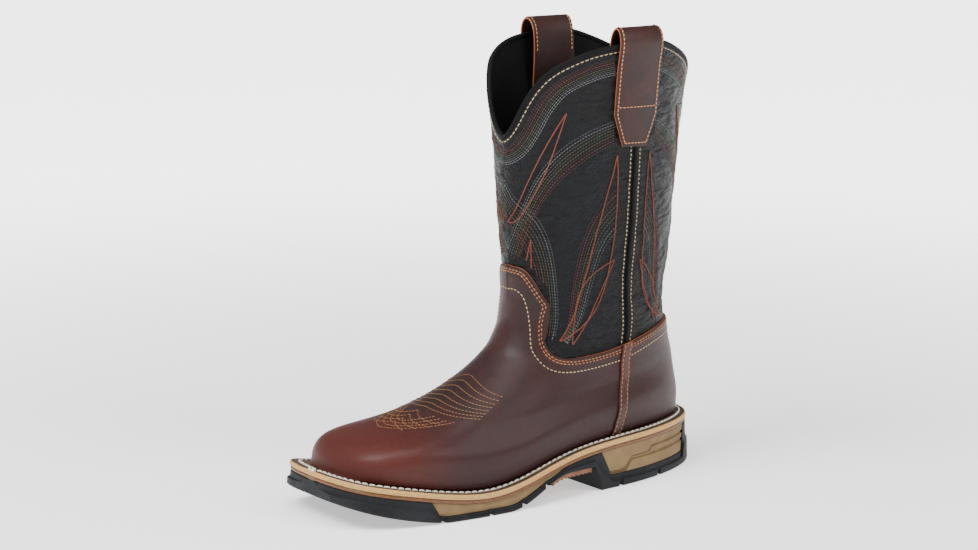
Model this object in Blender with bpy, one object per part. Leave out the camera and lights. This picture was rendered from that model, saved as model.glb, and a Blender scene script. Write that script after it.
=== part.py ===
"""Left pull-on work boot: square toe, scalloped 11-inch shaft, stitched welt, heel.

Metres, +Z up. The boot stands empty on z = 0, toe to -Y, heel to +Y, lateral side to +X.
The last is a stack of level loops: level 0 is the feather line on the welt, level 1 is a
loop just above the collar. A loop runs from its back point, round the lateral side, to its
front point and home along the medial side. A turn of 0 is the back and 0.5 is the front.
"""
import bmesh
import bpy
import numpy as np
from mathutils import Matrix

# Last: the outside of the upper
LAST_LENGTH = 0.295
BALL_WIDTH = 0.101
INSTEP_HEIGHT = 0.100
TOE_SWING = 0.0142
COLLAR_HEIGHT = 0.317
SHAFT_DEPTH = 0.170
SHAFT_WIDTH = 0.112

# Leather
WALL = 0.0024
OVERLAY = 0.0018
STRIP = 0.0012
STRIP_WIDTH = 0.0090
BEAD_WIDTH = 0.0032
BEAD_HEIGHT = 0.0013
BINDING_WIDTH = 0.0036
BINDING_HEIGHT = 0.0026
STRAP_WIDTH = 0.038
STRAP_TAB_WIDTH = 0.021
STRAP_THICKNESS = 0.0022
STRAP_OUTER_LEG = 0.072
STRAP_TAB = 0.024
STRAP_INNER_LEG = 0.080
STRAP_RISE = 0.0120
STRAP_STAND_OFF = 0.0070

# Sole
WELT_FRONT = 0.0100
WELT_BACK = 0.0076
SOLE_WIDTH = 0.1085
TOE_STACK = 0.0340
BALL_STACK = 0.0168
HEEL_STACK = 0.0362
WELT = 0.0040
WELT_BEVEL = 0.0008
MIDSOLE = 0.0026
INSOLE = 0.0046
RUBBER = 0.0038
HEEL_TREAD = 0.0092
TOE_LIFT = 0.0165
ARCH_LIFT = 0.0180
HEEL_BEVEL = 0.0020
FLARE = 0.0015
FOAM_STEP = 0.0012
NOTCH_WIDTH = 0.0024
NOTCH_DEPTH = 0.0024
NOTCH_DRAFT = 0.0008
INSERT_THICKNESS = 0.0040
RIB_PITCH = 0.0040
RIB_DEPTH = 0.0009
HEEL_GROOVE = 0.0009
GAP = 0.0003

SOLE_LENGTH = LAST_LENGTH + WELT_FRONT + WELT_BACK
SOLE_BACK = SOLE_LENGTH / 2
LAST_BACK = SOLE_BACK - WELT_BACK

# Loops of the foot. Ways are shares of the last's length, from its back point. Heights are
# shares of the instep height. The half width is a share of the ball width.
# Columns: level, front_way, front_height, back_way, back_height, half_width, widest, front, back, waist, taper
FOOT_LOOPS = (
    (0.042, 0.988, 0.425, -0.001, 0.530, 0.500, 0.69, 8.0, 2.6, 0.12, 0.12),
    (0.083, 0.956, 0.515, 0.008, 0.665, 0.491, 0.68, 7.0, 2.6, 0.09, 0.14),
    (0.119, 0.902, 0.560, 0.012, 0.745, 0.434, 0.66, 6.0, 2.6, 0.06, 0.18),
    (0.187, 0.824, 0.602, 0.016, 0.840, 0.409, 0.62, 4.5, 2.6, 0.04, 0.20),
    (0.291, 0.696, 0.739, 0.029, 0.950, 0.377, 0.56, 3.2, 2.6, 0.00, 0.15),
    (0.390, 0.546, 1.015, 0.047, 1.137, 0.365, 0.52, 2.6, 2.5, 0.00, 0.08),
)
FEATHER_HALF_WIDTH = 0.450
FEATHER_FORM = (0.70, 9.0, 2.6, 0.16, 0.12)

# Loops of the shaft. Depths are shares of the shaft's depth, heights of the collar's
# height, the half width of the shaft's width, and the back way of the last's length.
# Columns: level, depth, front_height, back_way, back_height, half_width, front, back
SHAFT_LOOPS = (
    (0.480, 0.788, 0.440, 0.053, 0.407, 0.319, 2.3, 2.3),
    (0.584, 0.818, 0.583, 0.040, 0.537, 0.366, 2.2, 2.2),
    (0.780, 0.889, 0.800, 0.016, 0.783, 0.427, 2.1, 2.1),
    (1.000, 1.046, 1.068, -0.032, 1.066, 0.517, 2.0, 2.0),
)

# Height of the welt's top from the heel (way 0) to the toe (way 1), as shares of the rise
# from the ball to the heel, or from the ball to the toe
# Columns: way, heel_share, toe_share
STACK_LINE = (
    (0.00, 1.00, 0.00),
    (0.14, 0.99, 0.00),
    (0.30, 0.94, 0.00),
    (0.49, 0.56, 0.00),
    (0.65, 0.00, 0.00),
    (0.81, 0.00, 0.28),
    (1.00, 0.00, 1.00),
)
SOLE_FORM = (0.705, 13.5, 3.0, 0.21, 0.17)
SKEW = 0.035
WAIST_WAY = 0.40
WAIST_SPREAD = 0.14
LATERAL_WAIST = 0.35
SETTLE_LEVEL = 0.35
OVERLAY_LEVELS = (0.25, 0.55)

# The side seam: its turn at each level
# Columns: level, turn
SEAM_LINE = (
    (0.00, 0.182),
    (0.06, 0.177),
    (0.34, 0.2035),
    (0.48, 0.2236),
    (0.76, 0.2368),
    (1.00, 0.2475),
)

# The vamp's top edge from the side seam (quarter 0) to the front (quarter 1), and the
# counter's from the seam to the back. The vamp's ear is the corner between its two parts.
# Columns: quarter, level
VAMP_SIDE_EDGE = (
    (0.00, 0.346),
    (0.10, 0.342),
    (0.21, 0.344),
    (0.40, 0.360),
    (0.526, 0.388),
    (0.594, 0.420),
    (0.602, 0.445),
    (0.576, 0.468),
)
VAMP_FRONT_EDGE = (
    (0.576, 0.468),
    (0.632, 0.483),
    (0.692, 0.500),
    (0.796, 0.521),
    (0.919, 0.525),
    (1.00, 0.526),
)
COUNTER_EDGE = (
    (0.00, 0.346),
    (0.25, 0.358),
    (0.60, 0.370),
    (1.00, 0.373),
)

# The collar's top edge from the front (round 0) to the back (round 1)
# Columns: round, level
COLLAR_EDGE = (
    (0.000, 0.766),
    (0.042, 0.776),
    (0.135, 0.840),
    (0.207, 0.885),
    (0.290, 0.913),
    (0.366, 0.929),
    (0.432, 0.936),
    (0.500, 0.940),
    (0.579, 0.939),
    (0.658, 0.924),
    (0.759, 0.897),
    (0.850, 0.862),
    (0.930, 0.830),
    (1.000, 0.815),
)

# Places along the sole, as shares of its length from the back
WRAP_BACK_TOP = 0.053
WRAP_BACK_FOOT = 0.0625
BLOCK_FRONT_FOOT = 0.326
BLOCK_FRONT_TOP = 0.354
BREAST_FOOT = 0.357
BREAST_TOP = 0.378
ARCH_FRONT = 0.453
FOAM_BACK_TOP = 0.466
FOAM_BACK_FOOT = 0.528
INSERT_FRONT = 0.500
INSERT_BACK = 0.382
FLAT_BACK = 0.629
FLAT_FRONT = 0.773
FOAM_FRONT_FOOT = 0.800
FOAM_FRONT_TOP = 0.818
HEEL_BEVEL_WAY = 0.035
NOTCHES = (0.172, 0.299, 0.523, 0.590, 0.677, 0.795)
GROOVES = (0.42, 0.70)
GROOVE_BAND = 0.07
GROOVE_STARTS = (0.86, 0.62)
GROOVE_EASE = 0.16

# Mesh: how many steps each form takes
SIDE_STEPS = 10
FRONT_STEPS = 9
BACK_STEPS = 8
FOOT_STEPS = (0, 0.035, 0.08, 0.13, 0.18, 0.24, 0.33, 0.45, 0.58, 0.72, 0.86, 1)
SHAFT_STEPS = 9
SOLE_STEPS = 34
HEEL_STEPS = 18
LOOP_STEPS = 9
LEG_STEPS = 6
STRAP_COLUMNS = 4


def spline(table, at):
    """Natural cubic through the rows of a table: the first column is the place."""
    table = np.asarray(table, float)
    knots, values = table[:, 0], table[:, 1:]
    step = np.diff(knots)
    count = len(knots)
    bend = np.eye(count)
    right = np.zeros_like(values)
    for i in range(1, count - 1):
        bend[i, i - 1:i + 2] = step[i - 1], 2 * (step[i - 1] + step[i]), step[i]
        right[i] = 6 * ((values[i + 1] - values[i]) / step[i] - (values[i] - values[i - 1]) / step[i - 1])
    second = np.linalg.solve(bend, right)
    at = np.asarray(at, float)
    i = np.clip(np.searchsorted(knots, at) - 1, 0, count - 2)
    width = step[i][..., None]
    low = (knots[i + 1] - at)[..., None] / width
    high = 1 - low
    curve = ((low**3 - low) * second[i] + (high**3 - high) * second[i + 1]) * width**2 / 6
    return low * values[i] + high * values[i + 1] + curve


def ease(share):
    """From 0 to 1 with level ends."""
    share = np.clip(share, 0, 1)
    return share * share * (3 - 2 * share)


def sole_y(way):
    return SOLE_BACK - np.asarray(way) * SOLE_LENGTH


def stack_top(y):
    """Height of the welt's top: heel seat, waist, ball and toe spring."""
    way = np.clip((SOLE_BACK - y) / SOLE_LENGTH, 0, 1)
    share = spline(STACK_LINE, way)
    heel_rise, toe_rise = HEEL_STACK - BALL_STACK, TOE_STACK - BALL_STACK
    return BALL_STACK + share[..., 0] * heel_rise + share[..., 1] * toe_rise


def middle(y):
    """The last's centre line, which swings to the medial side at the toe."""
    ahead = np.clip(-y / (LAST_LENGTH / 2), 0, None)
    return -TOE_SWING * ahead**2


def half_share(way, widest, front, back, waist, taper):
    """Half width along a loop, as a share of its greatest: an egg with a drawn-in waist."""
    ahead = np.clip((way - widest) / (1 - widest), 0, 1)
    behind = np.clip((widest - way) / widest, 0, 1)
    egg = np.sqrt(np.clip(1 - ahead**front - behind**back, 0, 1))
    drawn = 1 - waist * np.exp(-((way - WAIST_WAY) / WAIST_SPREAD)**2)
    return egg * drawn * (1 - taper * ahead**2)


def loop_table():
    """Every loop in metres: level, front y and z, back y and z, half width and form."""
    front, back = LAST_BACK - LAST_LENGTH, LAST_BACK
    heights = stack_top(np.array([front, back])) + GAP
    rows = [(0, front, heights[0], back, heights[1], FEATHER_HALF_WIDTH * BALL_WIDTH) + FEATHER_FORM]
    for level, front_way, front_height, back_way, back_height, half_width, *form in FOOT_LOOPS:
        rows.append((level,
                     LAST_BACK - front_way * LAST_LENGTH, front_height * INSTEP_HEIGHT,
                     LAST_BACK - back_way * LAST_LENGTH, back_height * INSTEP_HEIGHT,
                     half_width * BALL_WIDTH, *form))
    for level, depth, front_height, back_way, back_height, half_width, front, back in SHAFT_LOOPS:
        heel = LAST_BACK - back_way * LAST_LENGTH
        rows.append((level,
                     heel - depth * SHAFT_DEPTH, front_height * COLLAR_HEIGHT,
                     heel, back_height * COLLAR_HEIGHT,
                     half_width * SHAFT_WIDTH, 0.5, front, back, 0, 0))
    return np.array(rows)


LOOPS = loop_table()


def loop_point(way, side, level):
    """Point of the last at a way along a loop, on one side (+1 lateral, -1 medial)."""
    way, side, level = np.broadcast_arrays(way, side, level)
    row = spline(LOOPS, level)
    front_y, front_z, back_y, back_z, half, widest, front, back, waist, taper = np.moveaxis(row, -1, 0)
    settle = np.clip(1 - level / SETTLE_LEVEL, 0, 1)**2
    y = back_y + (front_y - back_y) * way
    seat = LOOPS[0, 3] + (LOOPS[0, 1] - LOOPS[0, 3]) * way
    chord = LOOPS[0, 4] + (LOOPS[0, 2] - LOOPS[0, 4]) * way
    z = back_z + (front_z - back_z) * way + settle * (stack_top(seat) + GAP - chord)
    drawn = np.where(side > 0, waist * LATERAL_WAIST, waist)
    x = side * half * half_share(way, widest - side * SKEW * settle, front, back, drawn, taper)
    return np.stack([middle(y) + x, y, z], -1)


def seam_turn(level):
    return spline(SEAM_LINE, level)[..., 0]


def last_point(turn, level):
    """Point of the last; a turn of 0.25 or 0.75 is always on a side seam."""
    turn, level = np.broadcast_arrays(np.mod(turn, 1.0), level)
    lateral = turn <= 0.5
    half = np.where(lateral, turn, 1 - turn)
    seam = seam_turn(level)
    plain = np.where(half < 0.25, half / 0.25 * seam, seam + (half - 0.25) / 0.25 * (0.5 - seam))
    way = (1 - np.cos(2 * np.pi * plain)) / 2
    return loop_point(way, np.where(lateral, 1.0, -1.0), level)


def outward(right, left, up, down):
    """Unit normals from neighbours on both sides of each point."""
    normal = np.cross(up - down, right - left)
    return normal / np.linalg.norm(normal, axis=-1, keepdims=True)


def last_normal(turn, level):
    small = 0.002
    normal = outward(last_point(turn + small, level), last_point(turn - small, level),
                     last_point(turn, level + small), last_point(turn, np.maximum(level - small, 0)))
    normal[..., 2] *= ease(np.broadcast_to(level, normal.shape[:-1]) / 0.08)
    return normal / np.linalg.norm(normal, axis=-1, keepdims=True)


def under_overlay(level):
    """How far the shell lies inside the last's surface, to leave room for the overlays."""
    low, high = OVERLAY_LEVELS
    return (OVERLAY + GAP) * (1 - ease((level - low) / (high - low)))


def wall_point(turn, level, height):
    """Point at a height over the shell's outer face; on level 0 it stays on the welt."""
    turn, level = np.broadcast_arrays(turn, level)
    reach = height - under_overlay(level)
    point = last_point(turn, level) + last_normal(turn, level) * reach[..., None]
    seat = stack_top(point[..., 1]) + GAP
    low = np.clip(1 - level / 0.03, 0, 1)
    point[..., 2] += low * (seat - point[..., 2])
    return point


def along(turn, level, distance):
    """The turn that lies a distance further round the loop."""
    small = 0.002 * np.sign(distance)
    speed = np.linalg.norm(last_point(turn + small, level) - last_point(turn, level), axis=-1) / abs(small)
    return turn + distance / speed


def collar_level(turn):
    away = np.abs(np.mod(turn, 1.0) - 0.5) * 2
    return spline(COLLAR_EDGE, away)[..., 0]


def resample(table, steps):
    """Even steps along the curve through a short table of points."""
    table = np.asarray(table, float)
    run = np.concatenate([[0], np.cumsum(np.linalg.norm(np.diff(table, axis=0) * (1, 2), axis=1))])
    return spline(np.column_stack([run, table]), np.linspace(0, run[-1], steps + 1))


def vamp_edge():
    """Turn and level along the vamp's top edge, from the lateral seam to the medial one."""
    side = resample(VAMP_SIDE_EDGE, SIDE_STEPS)
    front = resample(VAMP_FRONT_EDGE, FRONT_STEPS)
    lateral = np.concatenate([side, front[1:]])
    lateral[:, 0] = 0.25 + 0.25 * lateral[:, 0]
    medial = lateral[-2::-1] * (-1, 1) + (1, 0)
    return np.concatenate([lateral, medial])


def counter_edge():
    """Turn and level along the counter's top edge, from the medial seam to the lateral one."""
    lateral = resample(COUNTER_EDGE, BACK_STEPS)
    lateral[:, 0] = 1.25 - 0.25 * lateral[:, 0]
    medial = lateral[-2::-1] * (-1, 1) + (2, 0)
    return np.concatenate([lateral, medial])[::-1]


def foot_grid(edge):
    """Rows from the feather line up to an edge."""
    share = np.array(FOOT_STEPS)[:, None]
    even = np.linspace(edge[0, 0], edge[-1, 0], len(edge))
    foot = 0.5 * (even + edge[:, 0])
    turn = foot + (edge[:, 0] - foot) * share**2
    return turn, edge[:, 1] * share


def leg_grid(edge):
    """Rows from an edge up to the collar."""
    share = np.linspace(0, 1, SHAFT_STEPS + 1)[1:, None]
    even = np.linspace(edge[0, 0], edge[-1, 0], len(edge))
    top = 0.5 * (even + edge[:, 0])
    turn = edge[:, 0] + (top - edge[:, 0]) * share
    return turn, edge[:, 1] + (collar_level(top) - edge[:, 1]) * share


def add_piece(name, points, faces, colour, roughness):
    """One closed body with its faces pointing out."""
    shape = bmesh.new()
    corners = [shape.verts.new(point) for point in np.reshape(points, (-1, 3))]
    for face in faces:
        shape.faces.new([corners[i] for i in face])
    bmesh.ops.recalc_face_normals(shape, faces=shape.faces)
    mesh = bpy.data.meshes.new(name)
    shape.to_mesh(mesh)
    shape.free()
    mesh.shade_smooth()
    mesh.set_sharp_from_angle(angle=np.radians(40))
    finish = bpy.data.materials.new(name)
    finish.use_nodes = True
    shader = finish.node_tree.nodes["Principled BSDF"]
    shader.inputs["Base Color"].default_value = (*colour, 1)
    shader.inputs["Roughness"].default_value = roughness
    shader.inputs["Metallic"].default_value = 0
    mesh.materials.append(finish)
    bpy.context.scene.collection.objects.link(bpy.data.objects.new(name, mesh))


def tiles(index):
    """Triangles of a grid of point numbers, each square cut from its first corner."""
    a, b, c, d = index[:-1, :-1], index[:-1, 1:], index[1:, 1:], index[1:, :-1]
    first, second = np.stack((a, b, c), -1), np.stack((a, c, d), -1)
    return first.reshape(-1, 3).tolist() + second.reshape(-1, 3).tolist()


def closed(index):
    return np.concatenate([index, index[:, :1]], axis=1)


def shell_faces(rows, columns, ring):
    """Two like grids, joined round their rims."""
    outer = np.arange(rows * columns).reshape(rows, columns)
    inner = outer + rows * columns
    if ring:
        outer, inner = closed(outer), closed(inner)
    faces = tiles(outer) + tiles(inner)
    faces += tiles(np.stack([inner[0], outer[0]])) + tiles(np.stack([outer[-1], inner[-1]]))
    if not ring:
        faces += tiles(np.stack([outer[:, 0], inner[:, 0]]))
        faces += tiles(np.stack([inner[:, -1], outer[:, -1]]))
    return faces


def add_shell(name, outer, inner, ring, colour, roughness):
    rows, columns = outer.shape[:2]
    add_piece(name, np.stack([outer, inner]), shell_faces(rows, columns, ring), colour, roughness)


def add_sheet(name, turn, level, low, high, colour, roughness):
    """A piece of leather on the shell, between two heights over its outer face."""
    add_shell(name, wall_point(turn, level, high), wall_point(turn, level, low), False, colour, roughness)


def add_upper():
    """The shell: a wall from the welt to the collar, open at both ends."""
    vamp, counter = vamp_edge(), counter_edge()
    foot = [np.concatenate([a, b[:, 1:-1]], axis=1) for a, b in zip(foot_grid(vamp), foot_grid(counter))]
    leg = [np.concatenate([a, b[:, 1:-1]], axis=1) for a, b in zip(leg_grid(vamp), leg_grid(counter))]
    turn, level = [np.concatenate([a, b]) for a, b in zip(foot, leg)]
    add_shell("upper", wall_point(turn, level, 0), wall_point(turn, level, -WALL), True, (0.018, 0.018, 0.021), 0.55)


def add_overlays():
    """Vamp and counter, which meet at the side seams with a small gap."""
    for name, edge, colour in (("vamp", vamp_edge(), (0.085, 0.022, 0.018)),
                               ("counter", counter_edge(), (0.075, 0.020, 0.018))):
        turn, level = foot_grid(edge)
        first = along(turn[:, :1], level[:, :1], GAP)
        last = along(turn[:, -1:], level[:, -1:], -GAP)
        turn = np.concatenate([first, turn[:, 1:-1], last], axis=1)
        add_sheet(name, turn, level, GAP, GAP + OVERLAY, colour, 0.42)


def add_side_trim(side, seam):
    """Strip over the seam of vamp and counter, and the bead that runs on up the shaft."""
    top = VAMP_SIDE_EDGE[0][1]
    over = GAP + OVERLAY + GAP
    level = top * np.array(FOOT_STEPS)[:, None]
    across = np.linspace(-0.5, 0.5, 5)
    turn = np.concatenate([along(seam, level, STRIP_WIDTH * share) if share else seam + 0 * level
                           for share in across], axis=1)
    add_sheet("seam_strip_" + side, turn, level, over, over + STRIP, (0.12, 0.03, 0.02), 0.45)
    foot = top + (OVERLAY + GAP) / COLLAR_HEIGHT
    level = np.linspace(foot, strap_tab_level(), 13)[:, None]
    across = np.array((-0.5, -0.25, 0, 0.25, 0.5))
    turn = np.concatenate([along(seam, level, BEAD_WIDTH * share) if share else seam + 0 * level
                           for share in across], axis=1)
    height = GAP + BEAD_HEIGHT * np.sqrt(1 - (1.8 * across)**2)
    add_sheet("side_piping_" + side, turn, level, GAP, height, (0.014, 0.014, 0.016), 0.5)


def add_binding():
    """Rolled edge: a bead round the collar's rim."""
    turn = leg_turns()
    level = collar_level(turn)
    rim = 0.5 * (wall_point(turn, level, 0) + wall_point(turn, level, -WALL))
    out = last_normal(turn, level)
    tangent = np.roll(rim, -1, axis=0) - np.roll(rim, 1, axis=0)
    up = np.cross(out, tangent)
    up *= np.sign(up[:, 2:]) / np.linalg.norm(up, axis=-1, keepdims=True)
    angle = 2 * np.pi * np.arange(6) / 6
    centre = rim + up * (GAP + BINDING_HEIGHT / 2)
    section = (out[:, None] * (np.cos(angle) * BINDING_WIDTH / 2)[:, None]
               + up[:, None] * (np.sin(angle) * BINDING_HEIGHT / 2 / np.sin(np.pi / 3))[:, None])
    points = centre[:, None] + section
    index = np.arange(len(turn) * 6).reshape(len(turn), 6)
    index = closed(np.concatenate([index, index[:1]]))
    add_piece("collar_binding", points, tiles(index), (0.014, 0.014, 0.016), 0.5)


def leg_turns():
    """Turns of the shell's columns at the collar."""
    return np.concatenate([leg_grid(vamp_edge())[0][-1], leg_grid(counter_edge())[0][-1, 1:-1]])


def rise_per_level():
    """Height of the shaft for one unit of level, beside the strap."""
    low, high = last_point(0.25, np.array(0.8)), last_point(0.25, np.array(0.95))
    return (high[2] - low[2]) / 0.15


def strap_tab_level():
    """Level of the tapered tab's end."""
    return collar_level(0.25) - STRAP_OUTER_LEG / rise_per_level()


def strap_sheet(offset, drop, level_side):
    """Points of a strap's leg across its width, at drops below the rim and an offset."""
    side, across = level_side
    rim = collar_level(0.25)
    level = rim - drop[:, None] / rise_per_level() + 0 * across
    row = spline(LOOPS, level)
    y = last_point(0.25, rim)[1] + across
    way = (row[..., 2] - y) / (row[..., 2] - row[..., 0])
    small = 0.002
    point = loop_point(way, side, level)
    normal = outward(loop_point(way + small, side, level), loop_point(way - small, side, level),
                     loop_point(way, side, level + small), loop_point(way, side, level - small))
    normal *= np.sign(normal[..., :1]) * side
    return point + normal * (offset[:, None] - under_overlay(level))[..., None]


def add_strap(side_name, side):
    """Pull strap: sewn leg outside, loop above the collar, leg inside."""
    half = STRAP_THICKNESS / 2
    out, home = GAP + half, -WALL - GAP - half
    clear = (BINDING_WIDTH - WALL) / 2 + GAP
    tab = STRAP_OUTER_LEG - STRAP_TAB
    drop = np.sort(np.append(np.linspace(STRAP_OUTER_LEG, 0, LEG_STEPS + 1)[:-1], tab))[::-1]
    outer = out + clear * ease(1 - drop / (4 * BINDING_WIDTH))
    width = np.interp(drop, (tab, STRAP_OUTER_LEG), (STRAP_WIDTH, STRAP_TAB_WIDTH))
    angle = np.linspace(0, np.pi, LOOP_STEPS)
    start, end = out + clear, home - STRAP_STAND_OFF
    loop = (start + end) / 2 + (start - end) / 2 * np.cos(angle)
    rise = (STRAP_RISE - half) * np.sin(angle)
    leg = np.linspace(0, STRAP_INNER_LEG, LEG_STEPS + 1)[1:]
    inner = home - STRAP_STAND_OFF * (1 - ease(leg / (0.75 * STRAP_INNER_LEG)))
    offset = np.concatenate([outer, loop, inner])
    drops = np.concatenate([drop, -rise, leg])
    widths = np.concatenate([width, np.full(LOOP_STEPS + LEG_STEPS, STRAP_WIDTH)])
    across = np.linspace(-0.5, 0.5, STRAP_COLUMNS + 1) * widths[:, None]
    path = np.concatenate([strap_sheet(offset[i:i + 1], drops[i:i + 1], (side, across[i:i + 1]))
                           for i in range(len(drops))])
    lengthwise = np.gradient(path, axis=0)
    crosswise = np.gradient(path, axis=1)
    normal = np.cross(lengthwise, crosswise)
    normal /= np.linalg.norm(normal, axis=-1, keepdims=True)
    add_shell("pull_strap_" + side_name, path + normal * half, path - normal * half, False, (0.05, 0.022, 0.014), 0.5)


def sole_edges(y, grow):
    """Medial and lateral x of the sole's outline, let out by grow."""
    length = SOLE_LENGTH + 2 * grow
    way = np.clip((SOLE_BACK + grow - y) / length, 0.0004, 0.9996)
    widest, front, back, waist, taper = SOLE_FORM
    sides = []
    for side, drawn in ((-1, waist), (1, waist * LATERAL_WAIST)):
        share = half_share(way, widest - side * SKEW, front, back, drawn, taper)
        sides.append(middle(y) + side * (SOLE_WIDTH / 2 + grow) * share)
    return sides


def add_stack(name, levels, colour, roughness):
    """A layer of the sole: stations along y, with a pair of points for each level."""
    points = []
    for y, grow, z in levels:
        medial, lateral = sole_edges(y, grow)
        points.append(np.stack([np.stack([medial, y, z], -1), np.stack([lateral, y, z], -1)]))
    points = np.array(points)
    count = points.shape[2]
    index = np.arange(points[..., 0].size).reshape(points.shape[:3])
    faces = tiles(index[:, 0]) + tiles(index[::-1, 1])
    faces += tiles(index[0]) + tiles(index[-1][::-1])
    faces += tiles(index[:, :, 0]) + tiles(index[::-1, :, count - 1])
    add_piece(name, points, faces, colour, roughness)


def spread(back, front, steps=SOLE_STEPS):
    """Stations between two ways, closer together towards the ends of the whole sole."""
    turn = np.arccos(1 - 2 * np.clip(np.array((back, front)), 0.0004, 0.9996))
    return (1 - np.cos(np.linspace(turn[0], turn[1], steps + 1))) / 2


def midsole_top(y):
    return stack_top(y) - WELT - GAP


def midsole_foot(y):
    return midsole_top(y) - MIDSOLE


def tread(way):
    """Underside of the outsole without its notches: toe spring, flats and arch."""
    toe = TOE_LIFT * np.clip((way - FLAT_FRONT) / (1 - FLAT_FRONT), 0, 1)**1.5
    arch = ARCH_LIFT * ease((FLAT_BACK - way) / (FLAT_BACK - ARCH_FRONT))
    breast = np.clip((way - BREAST_FOOT) / (BREAST_TOP - BREAST_FOOT), 0, 1)
    heel = HEEL_BEVEL * np.clip((HEEL_BEVEL_WAY - way) / HEEL_BEVEL_WAY, 0, 1)**1.5
    return toe + arch * breast + heel


def notch_depth(way):
    """Depth of the cross grooves between the lugs."""
    depth = np.zeros_like(way)
    for place in NOTCHES:
        away = np.abs(way - place) * SOLE_LENGTH - NOTCH_WIDTH / 2
        depth = np.maximum(depth, NOTCH_DEPTH * np.clip(1 - away / NOTCH_DRAFT, 0, 1))
    return depth


def under_midsole(way):
    return midsole_foot(sole_y(way)) - GAP


def rubber_top(way):
    """Upper side of the outsole, with straight-ended pockets for the foam and the heel block."""
    top = under_midsole(way)
    heel_floor = HEEL_TREAD + 0 * way
    foam_floor = tread(way) + RUBBER
    for floor, corners in ((heel_floor, (WRAP_BACK_TOP, WRAP_BACK_FOOT, BLOCK_FRONT_FOOT, BLOCK_FRONT_TOP)),
                           (foam_floor, (FOAM_BACK_TOP, FOAM_BACK_FOOT, FOAM_FRONT_FOOT, FOAM_FRONT_TOP))):
        back_top, back_foot, front_foot, front_top = corners
        ends = under_midsole(np.array((back_top, front_top)))
        feet = np.interp((back_foot, front_foot), way, floor)
        ramps = np.interp(way, corners, (ends[0], feet[0], feet[1], ends[1]))
        top = np.where((way > back_top) & (way < front_top), ramps, top)
        top = np.where((way >= back_foot) & (way <= front_foot), floor, top)
    return top


def outsole_ways():
    """Stations of the outsole: an even spread and every corner of its profile."""
    corners = [WRAP_BACK_TOP, WRAP_BACK_FOOT, BLOCK_FRONT_FOOT, BLOCK_FRONT_TOP, BREAST_FOOT, BREAST_TOP,
               ARCH_FRONT, FOAM_BACK_TOP, FOAM_BACK_FOOT, FLAT_BACK, FLAT_FRONT, FOAM_FRONT_FOOT,
               FOAM_FRONT_TOP, HEEL_BEVEL_WAY]
    for place in NOTCHES:
        for reach in (NOTCH_WIDTH / 2, NOTCH_WIDTH / 2 + NOTCH_DRAFT):
            corners += [place - reach / SOLE_LENGTH, place + reach / SOLE_LENGTH]
    corners = np.sort(np.array(corners))
    near = 0.0007
    corners = corners[np.concatenate([[True], np.diff(corners) > near])]
    even = spread(0, 1)
    clear = np.abs(even[:, None] - corners).min(axis=1) > 0.003
    return np.sort(np.concatenate([even[clear], corners]))


def outsole_profile():
    """Stations of the outsole with the height of its foot and of its top."""
    way = outsole_ways()
    return way, tread(way) + notch_depth(way), rubber_top(way)


def outsole_foot(way):
    stations, foot, top = outsole_profile()
    return np.interp(way, stations, foot)


def outsole_top(way):
    stations, foot, top = outsole_profile()
    return np.interp(way, stations, top)


def add_outsole():
    way, foot, top = outsole_profile()
    y = sole_y(way)
    add_stack("outsole", [(y, FLARE, foot), (y, 0, top)], (0.035, 0.037, 0.042), 0.6)


def add_foam():
    foot = outsole_ways()
    foot = foot[(foot >= FOAM_BACK_FOOT) & (foot <= FOAM_FRONT_FOOT)]
    share = (foot - FOAM_BACK_FOOT) / (FOAM_FRONT_FOOT - FOAM_BACK_FOOT)
    top = FOAM_BACK_TOP + (FOAM_FRONT_TOP - FOAM_BACK_TOP) * share
    inset = GAP * (1 - 2 * share)
    top_y, foot_y = sole_y(top) - inset, sole_y(foot) - inset
    add_stack("forefoot_foam",
              [(foot_y, -FOAM_STEP, outsole_top(foot) + GAP),
               (top_y, -FOAM_STEP, midsole_foot(top_y) - GAP)], (0.33, 0.24, 0.12), 0.8)


def add_heel_block():
    """Heel block with two grooves in its side that fall away towards the front."""
    place = np.linspace(0, 1, HEEL_STEPS + 1)
    shares = [np.zeros_like(place)]
    insets = [0]
    for groove, start in zip(GROOVES, GROOVE_STARTS):
        line = groove * ease((start - place) / GROOVE_EASE) + 0.02
        for step, inset in ((-GROOVE_BAND, 0), (0, HEEL_GROOVE), (GROOVE_BAND, 0)):
            shares.append(np.maximum(line + step, shares[-1] + 0.015))
            insets.append(inset)
    shares.append(np.ones_like(place))
    insets.append(0)
    levels = []
    for share, inset in zip(shares, insets):
        back = WRAP_BACK_FOOT + (WRAP_BACK_TOP - WRAP_BACK_FOOT) * share
        front = BLOCK_FRONT_FOOT + (BLOCK_FRONT_TOP - BLOCK_FRONT_FOOT) * share
        y = sole_y(back + (front - back) * place) - GAP * (1 - 2 * place)
        foot, top = HEEL_TREAD + GAP, midsole_foot(y) - GAP
        levels.append((y, -FOAM_STEP - inset, foot + (top - foot) * share))
    add_stack("heel_block", levels, (0.33, 0.24, 0.12), 0.8)


def add_arch_insert():
    """Ribbed plate under the shank, between the last lug and the heel breast."""
    ribs = int((INSERT_FRONT - INSERT_BACK) * SOLE_LENGTH / RIB_PITCH)
    way = np.linspace(INSERT_BACK, INSERT_FRONT, 2 * ribs + 1)
    y = sole_y(way)
    top = outsole_foot(way) - GAP
    foot = top - INSERT_THICKNESS + RIB_DEPTH * (np.arange(len(way)) % 2)
    add_stack("arch_insert", [(y, -FOAM_STEP, foot), (y, -FOAM_STEP, top)], (0.42, 0.16, 0.06), 0.6)


def add_midsole():
    y = sole_y(spread(0, 1))
    add_stack("midsole", [(y, -0.0004, midsole_foot(y)), (y, 0, midsole_top(y))], (0.34, 0.13, 0.035), 0.5)


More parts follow.
